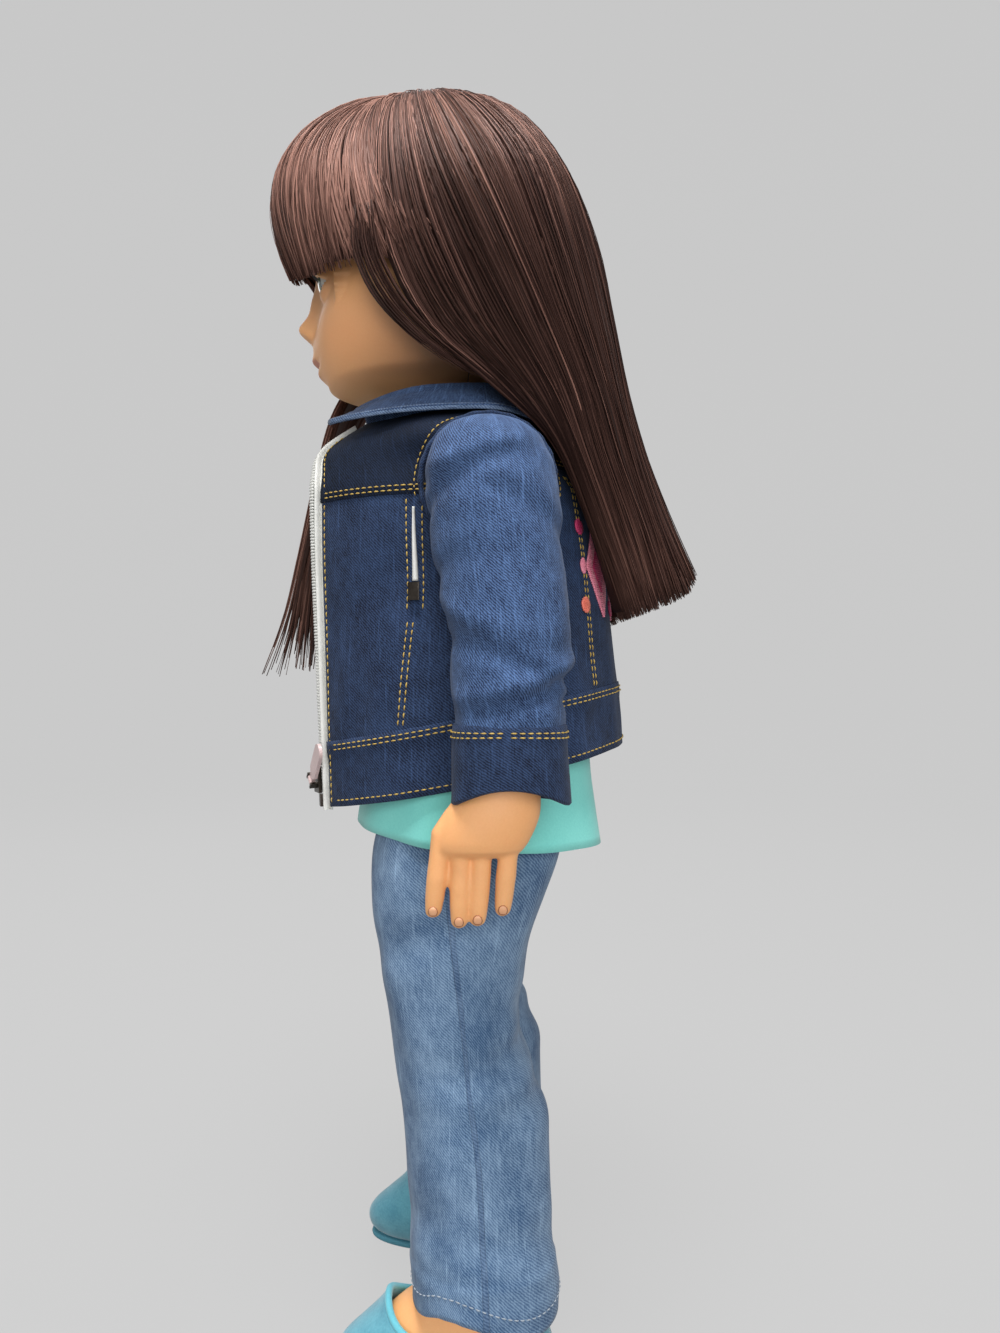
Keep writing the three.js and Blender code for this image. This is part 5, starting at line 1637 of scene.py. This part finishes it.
shoe = {
    "rows": [
        (1.6, 39.8, -4, 12.6, 39.0, 26.0),
        (5.0, 39.6, -4, 15.6, 42.6, 29.2),
        (9.7, 39.4, -4, 16.6, 43.6, 30.4),
        (14.0, 39.0, -4, 16.4, 41.2, 29.6),
        (18.5, 38.7, -4, 15.8, 36.0, 28.2),
        (24.1, 38.2, -4, 15.0, 29.6, 26.4),
        (31, 37.7, -4, 15.4, 24.0, 25.0),
    ],
    "wall": 2.0,
    "rimHeight": 29.0,
    "rimDip": 11.0,
    "rimRadius": 1.25,
    "soleRows": [(0, 1.2), (0.6, 0.2), (1.4, 0.0), (2.2, 0.3), (2.7, 1.2)],
    "sole": (39.6, -4, 15.2, 42.4, 29.2),
}


def rimHeight(angle):
    return shoe["rimHeight"] - shoe["rimDip"] * sin(angle) ** 2 - 1.5 * ease(0.2, 1, cos(angle))


def shoePoint(angle, z, lift=0.0):
    return ovalPoint(rowAt(shoe["rows"], z), angle, z, lift)


def makeFeet():
    legs = loftGrid(leg["rows"], leg["rows"][0][0], leg["rows"][-1][0], 72, 48)
    legs = [[Vector((max(p.x, leg["inner"] * mm), p.y, p.z)) for p in ring] for ring in legs]
    rounds = turns(72)
    foot = shoe["rows"][0][0]
    uppers = []
    for row in range(25):
        uppers.append([shoePoint(angle, mix(foot, rimHeight(angle), row / 24)) for angle in rounds])
    rims = []
    radius = shoe["rimRadius"] * mm
    for angle in rounds:
        centre = shoePoint(angle, rimHeight(angle), -0.8)
        out = Vector((sin(angle), -cos(angle), 0))
        rims.append(ringAround(centre, out, upward, radius, radius, 10))
    rims.append(rims[0])
    soles = []
    for z, inset in shoe["soleRows"]:
        soles.append([ovalPoint(shoe["sole"], angle, z, -inset) for angle in rounds])
    for side, flip in bothSides:
        body = "leg_" + side
        limb = gridPiece(side + "LegVinyl", sided(legs, flip), skinVinyl, closed=True, caps=bothEnds)
        fit(limb, "skin_vinyl", body, side + "_leg")
        upper = gridPiece(side + "ShoeSuede", sided(uppers, flip), shoeSuede, closed=True)
        fit(thicken(upper, shoe["wall"]), "shoe_suede", body, side + "_shoe_upper")
        rim = gridPiece(side + "ShoeRim", sided(rims, flip), shoeRim, closed=True)
        fit(rim, "shoe_suede", body)
        sole = gridPiece(side + "ShoeSole", sided(soles, flip), shoeSole, closed=True, caps=bothEnds)
        fit(sole, "shoe_sole", body, side + "_shoe_sole")


makeFeet()
print("legs and shoes made")


# Head: one sculpted skin with lids round the sleep eyes

head = {
    # height, half width, front, back about the head's own axis
    "rows": [
        (330, 14.5, 14.5, 13),
        (339, 15.5, 17, 13.5),
        (343.5, 26, 38, 22),
        (347, 34.5, 45, 31.5),
        (357.7, 42.75, 48, 42),
        (378, 47, 49, 49),
        (402, 47.5, 50, 47.5),
        (425, 38, 43, 39),
        (437, 25.5, 30, 25.5),
        (443.5, 13, 15.5, 13),
        (446.5, 1.2, 1.2, 1.2),
    ],
    "back": -12,
    "columns": 240,
    # heights of the rings: single ones, and runs of first, pitch and count
    "neckHeights": (330, 333, 336, 338, 340),
    "runs": [(340.6, 0.62, 90), (398, 2.6, 18)],
    "topHeights": (444, 445.3, 446.1, 446.45),
    "eyeAcross": 18.5,
    "eyeBack": -49.2,
    "eyeHeight": 380,
    "eyeRadius": 8.8,
    "socket": 3.0,
    "lidHalf": 8.2,
    "lidUpper": 3.9,
    "lidLower": 3.3,
    "lidDrop": 2.2,
    "lidOver": 1.0,
    "holeUnder": 1.6,
}
# Bumps on the face: across, height, spread across, spread up, height out
faceForms = [
    (0, 369.4, 4.6, 4.6, 6.4),
    (0, 377.6, 3.8, 8.0, 4.2),
    (4.2, 366.8, 2.3, 2.3, 2.0),
    (-4.2, 366.8, 2.3, 2.3, 2.0),
    (0, 359.6, 14, 7.5, 2.6),
    (0, 357.0, 6.6, 1.7, 1.3),
    (0, 354.5, 7.4, 0.95, -2.4),
    (0, 351.8, 5.8, 1.9, 1.1),
    (0, 362.4, 1.4, 1.8, -0.6),
    (0, 347.8, 7, 2.0, -1.1),
    (0, 342.0, 9, 5.2, 2.2),
    (26, 359, 13, 12, 1.8),
    (-26, 359, 13, 12, 1.8),
]


def almond(across, height):
    # about the distance from the open lids, below zero inside them
    side = across / head["lidHalf"]
    beyond = abs(across) - head["lidHalf"]
    rise = height + head["lidDrop"]
    upper = head["lidUpper"] * (1 - side * side) if beyond < 0 else -beyond
    lower = head["lidLower"] * (1 - side * side) if beyond < 0 else -beyond
    return rise - upper if rise > 0 else -rise - lower


def globeReach(radius, away):
    return sqrt(max(radius * radius - away * away, 0.04))


def softLeast(first, second, blend):
    share = min(max(0.5 + 0.5 * (second - first) / blend, 0), 1)
    return mix(second, first, share) - blend * share * (1 - share)


def headPoint(angle, z):
    wide, front, back = rowAt(head["rows"], z)
    reach = front if cos(angle) > 0 else back
    x = wide * sin(angle)
    y = head["back"] - reach * cos(angle)
    facing = max(cos(angle), 0)
    if facing > 0.15:
        out = 0.0
        for across, height, wideSpread, highSpread, rise in faceForms:
            out += rise * hump(x, across, wideSpread) * hump(z, height, highSpread)
        y -= out * ease(0.1, 0.5, facing)
    for turn in (1, -1):
        across = x - turn * head["eyeAcross"]
        height = z - head["eyeHeight"]
        away = hypot(across, height)
        if facing > 0.2 and away < 30:
            y += head["socket"] * hump(across, -4 * turn, 10) * hump(height, -1, 8.5)
        if facing > 0.2 and away < 17:
            lid = head["eyeBack"] - globeReach(head["eyeRadius"] + head["lidOver"], away)
            hole = head["eyeBack"] - globeReach(head["eyeRadius"] - head["holeUnder"], away)
            y = mix(hole, softLeast(y, lid, 1.6), ease(-0.9, 0.3, almond(across, height)))
    return at(x, y, z)


def headAngles():
    # columns crowd together over the face
    count = head["columns"]
    return [fullTurn * (k / count) - 0.55 * sin(fullTurn * k / count) for k in range(count)]


def headHeights():
    heights = list(head["neckHeights"])
    for low, pitch, count in head["runs"]:
        heights += [low + pitch * k for k in range(count)]
    return heights + list(head["topHeights"])


# Paint on the skin, in the same millimetres
lips = {
    "behind": -40,
    "half": 8,
    "bow": 357.9,
    "middle": 354.6,
    "upperHalf": 8.4,
    "lowerHalf": 7.6,
    "lower": 4.4,
    "strength": 0.75,
}
blush = {"behind": -20, "across": 30, "height": 359, "spread": 11, "strength": 0.25}
# painted shade under the hair and the jaw
paintedShade = {"rear": (-54, -12), "side": (8, 30), "under": (350, 338), "strengths": (0.78, 0.25), "most": 0.85}


def lipPaint(spot):
    if spot.y > lips["behind"] or abs(spot.x) > lips["half"]:
        return 0.0
    bow = lips["bow"] - 0.5 * hump(spot.x, 0, 1.6) + 0.5 * hump(abs(spot.x), 2.4, 1.6)
    middle = lips["middle"] + 0.02 * spot.x ** 2
    upper = (bow - middle) * (1 - (spot.x / lips["upperHalf"]) ** 2)
    lower = lips["lower"] * (1 - (spot.x / lips["lowerHalf"]) ** 2)
    rise = spot.z - middle
    gap = rise - upper if rise > 0 else -rise - lower
    return lips["strength"] * ease(0.5, -0.5, gap)


def blushPaint(spot):
    away = hypot(abs(spot.x) - blush["across"], spot.z - blush["height"])
    return blush["strength"] * hump(away, 0, blush["spread"]) * (spot.y < blush["behind"])


def shadePaint(spot):
    # painted shade: the skin darkens towards the hairline, where the hair shades it, and under the jaw
    rear = ease(*paintedShade["rear"], spot.y) * ease(*paintedShade["side"], abs(spot.x))
    under = ease(*paintedShade["under"], spot.z)
    most, some = paintedShade["strengths"]
    return min(most * rear + some * under, paintedShade["most"])


def makeHead():
    grid = [[headPoint(angle, z) for angle in headAngles()] for z in headHeights()]
    piece = gridPiece("headVinyl", grid, skinVinyl, closed=True, caps=bothEnds)
    spots = [vertex.co / mm - Vector((0, shiftY, 0)) for vertex in piece.data.vertices]
    for name, paint in (("lips", lipPaint), ("blush", blushPaint), ("shade", shadePaint)):
        floatLayer(piece, name, [paint(spot) for spot in spots])
    fit(piece, "skin_vinyl", "head", "head_shell")


# Sleep eyes: a clear dome over a painted iris, with lashes on the lid

def makeEyeMaterial():
    material, tree, shader = newMaterial("eye gloss", 0.06)
    lid = attribute(tree, "lid")
    # pupil, iris and white, by the angle away from the middle of the gaze
    stops = [
        (0.0, (8, 8, 8)),
        (0.205, (8, 8, 8)),
        (0.23, (70, 92, 58)),
        (0.38, (128, 150, 96)),
        (0.6, (66, 92, 66)),
        (0.65, (30, 38, 32)),
        (0.7, (228, 226, 218)),
        (1.0, (226, 222, 214)),
    ]
    plain = colourRamp(tree, attribute(tree, "gaze"), stops)
    streak = math2(tree, "MULTIPLY", attribute(tree, "spoke"), 0.5)
    rayed = mixColour(tree, streak, plain, colour(40, 58, 40))
    tree.links.new(mixColour(tree, lid, rayed, colour(222, 156, 102)), shader.inputs["Base Color"])
    dull = math2(tree, "ADD", math2(tree, "MULTIPLY", lid, 0.5), 0.06)
    tree.links.new(dull, shader.inputs["Roughness"])
    coat = math2(tree, "MULTIPLY", math2(tree, "SUBTRACT", 1.0, lid), 0.6)
    tree.links.new(coat, shader.inputs["Coat Weight"])
    setInputs(shader, {"Coat Roughness": 0.03})
    return material


eyeGloss = makeEyeMaterial()
lashFibre = speckMaterial("lash fibre", (26, 20, 18), (38, 28, 26), 0.6, 1500, 100)
lash = {"count": 30, "length": 4.2, "radius": 0.22, "sink": 0.1}


def makeEyeBall(side, centre, radius):
    grid = []
    for row in range(1, 48):
        tilt = pi * row / 48
        ring = []
        for angle in turns(64):
            across = Vector((cos(angle), 0, sin(angle))) * sin(tilt)
            ring.append(centre + radius * (across + Vector((0, -cos(tilt), 0))))
        grid.append(ring)
    piece = gridPiece(side + "EyeBall", grid, eyeGloss, closed=True, caps=bothEnds)
    layers = {"gaze": [], "spoke": [], "lid": []}
    drop = head["lidDrop"] / head["eyeRadius"]
    for vertex in piece.data.vertices:
        out = (vertex.co - centre).normalized()
        level = Vector((out.x, out.y, out.z + drop)).normalized()
        tilt = acos(max(-1, min(1, -level.y)))
        around = atan2(level.z, level.x)
        layers["gaze"].append(min(tilt, 1.0))
        rays = 0.5 + 0.5 * noise.noise(Vector((9 * cos(around), 9 * sin(around), 4 * tilt)))
        layers["spoke"].append(rays * ease(0.25, 0.3, tilt) * ease(0.65, 0.58, tilt))
        layers["lid"].append(ease(0.21, 0.235, atan2(out.z, -out.y)))
    for name, values in layers.items():
        floatLayer(piece, name, values)
    fit(piece, "eye_gloss", "eyes", side + "_eye")


def makeLashes(side, centre, radius):
    tubes = ManyTubes()
    for k in range(lash["count"]):
        share = (k + 0.5) / lash["count"] * 2 - 1
        out = Vector((0.78 * share, -1, 0.19 - 0.1 * share * share)).normalized()
        grow = Vector((0.55 * share, -1, 0.15)).normalized()
        long = lash["length"] * (1 - 0.35 * share * share) * draw.uniform(0.85, 1.05) * mm
        root = centre + out * (radius - lash["sink"] * mm)
        rings = []
        for step in range(5):
            along = step / 4
            spot = root + grow * (long * along) + upward * (0.5 * long * along ** 2)
            thin = lash["radius"] * mm * (1.02 - along)
            rings.append(ringAround(spot, alongX, upward, thin, thin, 4))
        tubes.add(rings)
    fit(tubes.build(side + "Lashes", lashFibre), "eye_gloss", "eyes")


def makeEyes():
    for side, turn in (("left", 1), ("right", -1)):
        centre = at(turn * head["eyeAcross"], head["eyeBack"], head["eyeHeight"])
        makeEyeBall(side, centre, head["eyeRadius"] * mm)
        makeLashes(side, centre, head["eyeRadius"] * mm)


makeHead()
makeEyes()
print("head and eyes made")


# Wig: dark cap sheets under layers of combed locks

def makeHairMaterial():
    material, tree, shader = newMaterial("hair fibre", 0.46)
    place = addNode(tree, "ShaderNodeTexCoord").outputs["UV"]
    broad = stretchedNoise(tree, place, (1500, 9, 1), 2)
    fine = stretchedNoise(tree, place, (4200, 16, 1), 2)
    streak = weighted(tree, broad, 0.5, fine, 0.5)
    share = weighted(tree, attribute(tree, "tone"), 0.55, streak, 0.75)
    stops = [(0.0, (18, 11, 10)), (0.35, (44, 29, 26)), (0.7, (84, 59, 52)), (1.0, (156, 116, 103))]
    shade = colourRamp(tree, ranged(tree, share, 0.36, 0.9), stops)
    tree.links.new(shade, shader.inputs["Base Color"])
    setInputs(shader, {"Specular IOR Level": 0.22, "Specular Tint": colour(232, 176, 156)})
    addBump(tree, shader, streak, 0.5, 0.25)
    return material


hairFibre = makeHairMaterial()

# Guide locks, from the parting down: across, back, height
backGuides = [
    [
        (0, -10, 458), (0, 14, 450), (0, 31, 429), (0, 43.5, 401), (0, 49, 375),
        (0, 55, 347), (0, 62, 323), (0, 71, 300), (0, 82, 276),
    ],
    [
        (2, -13, 457.6), (22, 9, 443), (35, 27, 416), (38, 38, 385), (35, 46, 355),
        (31, 52, 330), (28, 59, 308), (24, 67, 288), (18, 77, 268),
    ],
    [
        (4, -17, 456.8), (32, -4, 440), (51, 12, 412), (54, 22, 385), (52, 32, 356),
        (48, 41, 332), (44, 48, 310), (38, 57, 287), (31, 66, 262),
    ],
    [
        (6, -20, 456), (36, -18, 437.5), (53, -10, 409), (57, 0, 385), (56, 14, 355),
        (53, 26, 332), (50, 34, 312), (45, 44, 286), (37, 55, 258),
    ],
    [
        (7.5, -23, 455.2), (31, -31, 438.5), (46.5, -33, 412), (51.5, -29, 380), (50.5, -16, 354),
        (50, 6, 335), (47, 26, 317), (40, 39, 290), (32, 50, 257),
    ],
]
fringeGuides = [
    [
        (0, -11, 458), (0, -40, 456), (0, -61, 444.5), (0, -74.5, 429),
        (0, -77.8, 413.5), (0, -76, 400), (0, -71, 387),
    ],
    [
        (2, -14, 457.5), (12, -42, 450.5), (20, -59, 437), (25, -68, 423),
        (27, -71, 409), (27, -69, 395), (26, -63, 378),
    ],
    [
        (4.5, -18.5, 456.5), (20, -38, 445.5), (34, -49, 431), (42, -54.5, 417),
        (46, -56, 403), (46.5, -55, 389), (44, -51, 373),
    ],
    [
        (7, -22.5, 455.3), (24, -31.5, 444), (39, -30, 424), (47.5, -25, 407),
        (52, -19, 394), (54, -14, 385), (54.5, -9.5, 377.5),
    ],
]
templeGuides = [
    [(52, -34, 394), (53, -31, 376), (52, -22, 360), (50.5, -8, 346), (48, 8, 335)],
    [(50, -41, 392), (51.5, -40, 377), (51.5, -34, 363), (50.5, -22, 350), (48.5, -4, 338)],
]
lockGuides = [
    [
        (-36, -50, 386), (-38, -54, 365), (-36, -63, 345), (-34, -69, 320),
        (-31, -75, 290), (-29, -81, 262), (-27, -91, 236),
    ],
    [
        (-43, -44, 385), (-45, -50, 365), (-43, -60, 345), (-41, -66, 320),
        (-38, -71, 290), (-36, -74, 262), (-34, -76, 238),
    ],
    [
        (-49, -34, 385), (-51, -42, 365), (-49, -54, 345), (-47, -61, 320),
        (-44, -66, 290), (-42, -69, 262), (-40, -72, 240),
    ],
]
fieldSize = {"across": 96, "along": 48}


def mirrorGuides(guides):
    other = [[(-x, y, z) for x, y, z in guide] for guide in guides[:0:-1]]
    return other + guides


def hairField(guides, low, high):
    # a surface through the guides, sampled once and then read between its samples
    across, along = fieldSize["across"], fieldSize["along"]
    field = []
    for k in range(across + 1):
        lock = [[glide(values, k / across) for values in zip(*spots)] for spots in zip(*guides)]
        shares = [n / along for n in range(along + 1)]
        field.append([Vector([glide(values, share) for values in zip(*lock)]) for share in shares])

    def spot(side, share):
        u = min(max((side - low) / (high - low), 0), 1) * across
        v = min(max(share, 0), 1) * along
        i, j = min(int(u), across - 1), min(int(v), along - 1)
        near = field[i][j].lerp(field[i][j + 1], v - j)
        far = field[i + 1][j].lerp(field[i + 1][j + 1], v - j)
        return near.lerp(far, u - i)

    return spot


backSpot = hairField(mirrorGuides(backGuides), -1, 1)
plainFringe = hairField(mirrorGuides(fringeGuides), -1, 1)
plainTemple = hairField(templeGuides, 0, 1)
lockSpot = hairField(lockGuides, 0, 1)


def fringeSpot(side, share):
    place = plainFringe(side, share)
    # the right half is combed back a little closer to the brow
    return place + Vector((0, 4, 5)) * (share ** 3 * ease(0, -9, place.x))


def templeSpot(side, share):
    place = plainTemple(abs(side), share)
    return Vector((copysign(place.x, side), place.y, place.z))


wig = {
    "inset": 2.0,
    "lockInset": 1.0,
    "cloth": 1.5,
    "capTone": 0.36,
    "templeTone": 0.36,
    "lockTone": 0.62,
    "drift": 0.06,
    "bend": (365, 320),
    # strands: count, depth, half width, thickness, spread of lift, contrast
    "back": [
        (420, 0.7, 1.7, 0.14, 0.2, 0.05),
        (760, 0.1, 0.55, 0.16, 0.35, 0.1),
        (240, -0.5, 0.2, 0.15, 0.5, 0.16),
    ],
    "fringe": [
        (280, 0.7, 1.5, 0.14, 0.2, 0.05),
        (560, 0.1, 0.5, 0.16, 0.35, 0.12),
        (200, -0.4, 0.18, 0.14, 0.5, 0.18),
    ],
    "temple": [(80, 0.5, 0.26, 0.14, 0.8, 0.12)],
    "lock": [(22, 1.0, 1.3, 0.16, 0.3, 0.06), (70, -0.6, 0.5, 0.18, 0.9, 0.1)],
}


def combStrands(name, spot, sides, middle, steps, reach, toneAt):
    # each strand is a thin leaf that follows its guide and tapers to its tip
    tubes = ManyTubes()
    for count, depth, half, thick, spread, contrast in wig[name]:
        corners = 4 if half < 1 else 6
        for k in range(count):
            side = mix(sides[0], sides[1], (k + draw.uniform(0.1, 0.9)) / count)
            drift = draw.uniform(-1, 1) * wig["drift"]
            start = draw.uniform(0.0, 0.05)
            end = 1 - draw.random() ** 2 * reach
            wide = half * draw.uniform(0.6, 1.25)
            deep = thick * draw.uniform(0.7, 1.2)
            lift = draw.uniform(-1, 1) * spread - depth
            seed = draw.uniform(0, 50)
            clump = draw.gauss(0, contrast) + 0.14 * noise.noise(Vector((9 * side, 4.0, 0)))
            points = []
            tones = []
            for step in range(steps + 1):
                share = mix(start, end, step / steps)
                place = spot(min(max(side + drift * share ** 2, sides[0]), sides[1]), share)
                wave = (0.4 + spread) * share * noise.noise(Vector((seed, 3 * share, 0)))
                out = (place - middle(place)).normalized()
                points.append((place + out * (lift + wave), out))
                tones.append(min(max(toneAt(share) + clump, 0.0), 1.0))
            rings = []
            for step, (place, out) in enumerate(points):
                after = points[min(step + 1, steps)][0]
                before = points[max(step - 1, 0)][0]
                along = (after - before).normalized()
                across = along.cross(out).normalized()
                flat = across.cross(along).normalized()
                share = step / steps
                taper = min(1, 0.45 + 2.2 * share) * (1 - 0.85 * ease(0.86, 1.0, share))
                rings.append(ringAround(at(*place), across, flat, wide * taper * mm, deep * mm, corners))
            tubes.add(rings, tones)
    return tubes.build(name + "Strands", hairFibre)


def capSheet(name, spot, sides, columns, rows, inset, middle, shares):
    grid = []
    for row in range(rows + 1):
        line = []
        for k in range(columns + 1):
            place = spot(mix(sides[0], sides[1], k / columns), mix(shares[0], shares[1], row / rows))
            line.append(at(*(place - (place - middle(place)).normalized() * inset)))
        grid.append(line)
    sheet = thicken(gridPiece(name, grid, hairFibre), wig["cloth"])
    floatLayer(sheet, "tone", [wig["capTone"]] * len(sheet.data.vertices))
    return sheet


def headMiddle(place):
    return Vector((0, -8, min(place.z, 395)))


def lockMiddle(place):
    return Vector((0, 0, place.z))


def backToneAndCrownHighlight(share):
    # a painted highlight lightens the crown; the tips are lighter in tone
    return 0.34 + 0.4 * hump(share, 0.16, 0.15) + 0.24 * ease(0.7, 1.0, share)


def litFringeTone(share):
    # painted light: the fringe is lighter than the back, most in its upper part where the top light falls
    return 0.82 - 0.14 * ease(0.55, 1.0, share)


def templeTone(share):
    return wig["templeTone"]


def lockTone(share):
    return wig["lockTone"]


def makeWig():
    whole, inset = (-1, 1), wig["inset"]
    crownCap = capSheet("crownCap", backSpot, whole, 80, 40, inset, headMiddle, (0.0, 0.4))
    backCap = capSheet("backCap", backSpot, whole, 80, 40, inset, headMiddle, (0.37, 0.985))
    fringeCap = capSheet("fringeCap", fringeSpot, whole, 70, 30, inset, headMiddle, (0.0, 0.95))
    lockCap = capSheet("lockCap", lockSpot, (0.15, 0.85), 8, 40, wig["lockInset"], lockMiddle, (0.0, 0.62))
    back = combStrands("back", backSpot, whole, headMiddle, 26, 0.06, backToneAndCrownHighlight)
    fringe = combStrands("fringe", fringeSpot, whole, headMiddle, 18, 0.05, litFringeTone)
    temple = combStrands("temple", templeSpot, whole, headMiddle, 12, 0.5, templeTone)
    lock = combStrands("lock", lockSpot, (0, 1), lockMiddle, 24, 0.3, lockTone)
    for cap, node, strands in (
        (crownCap, "wig_crown", temple),
        (backCap, "wig_back_length", back),
        (fringeCap, "wig_fringe", fringe),
        (lockCap, "wig_front_lock", lock),
    ):
        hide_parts(node)
    for piece in (crownCap, fringeCap, fringe, temple):
        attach(piece, "head")
    for piece in (backCap, lockCap, back, lock):
        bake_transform(piece)


makeWig()
print("wig made")
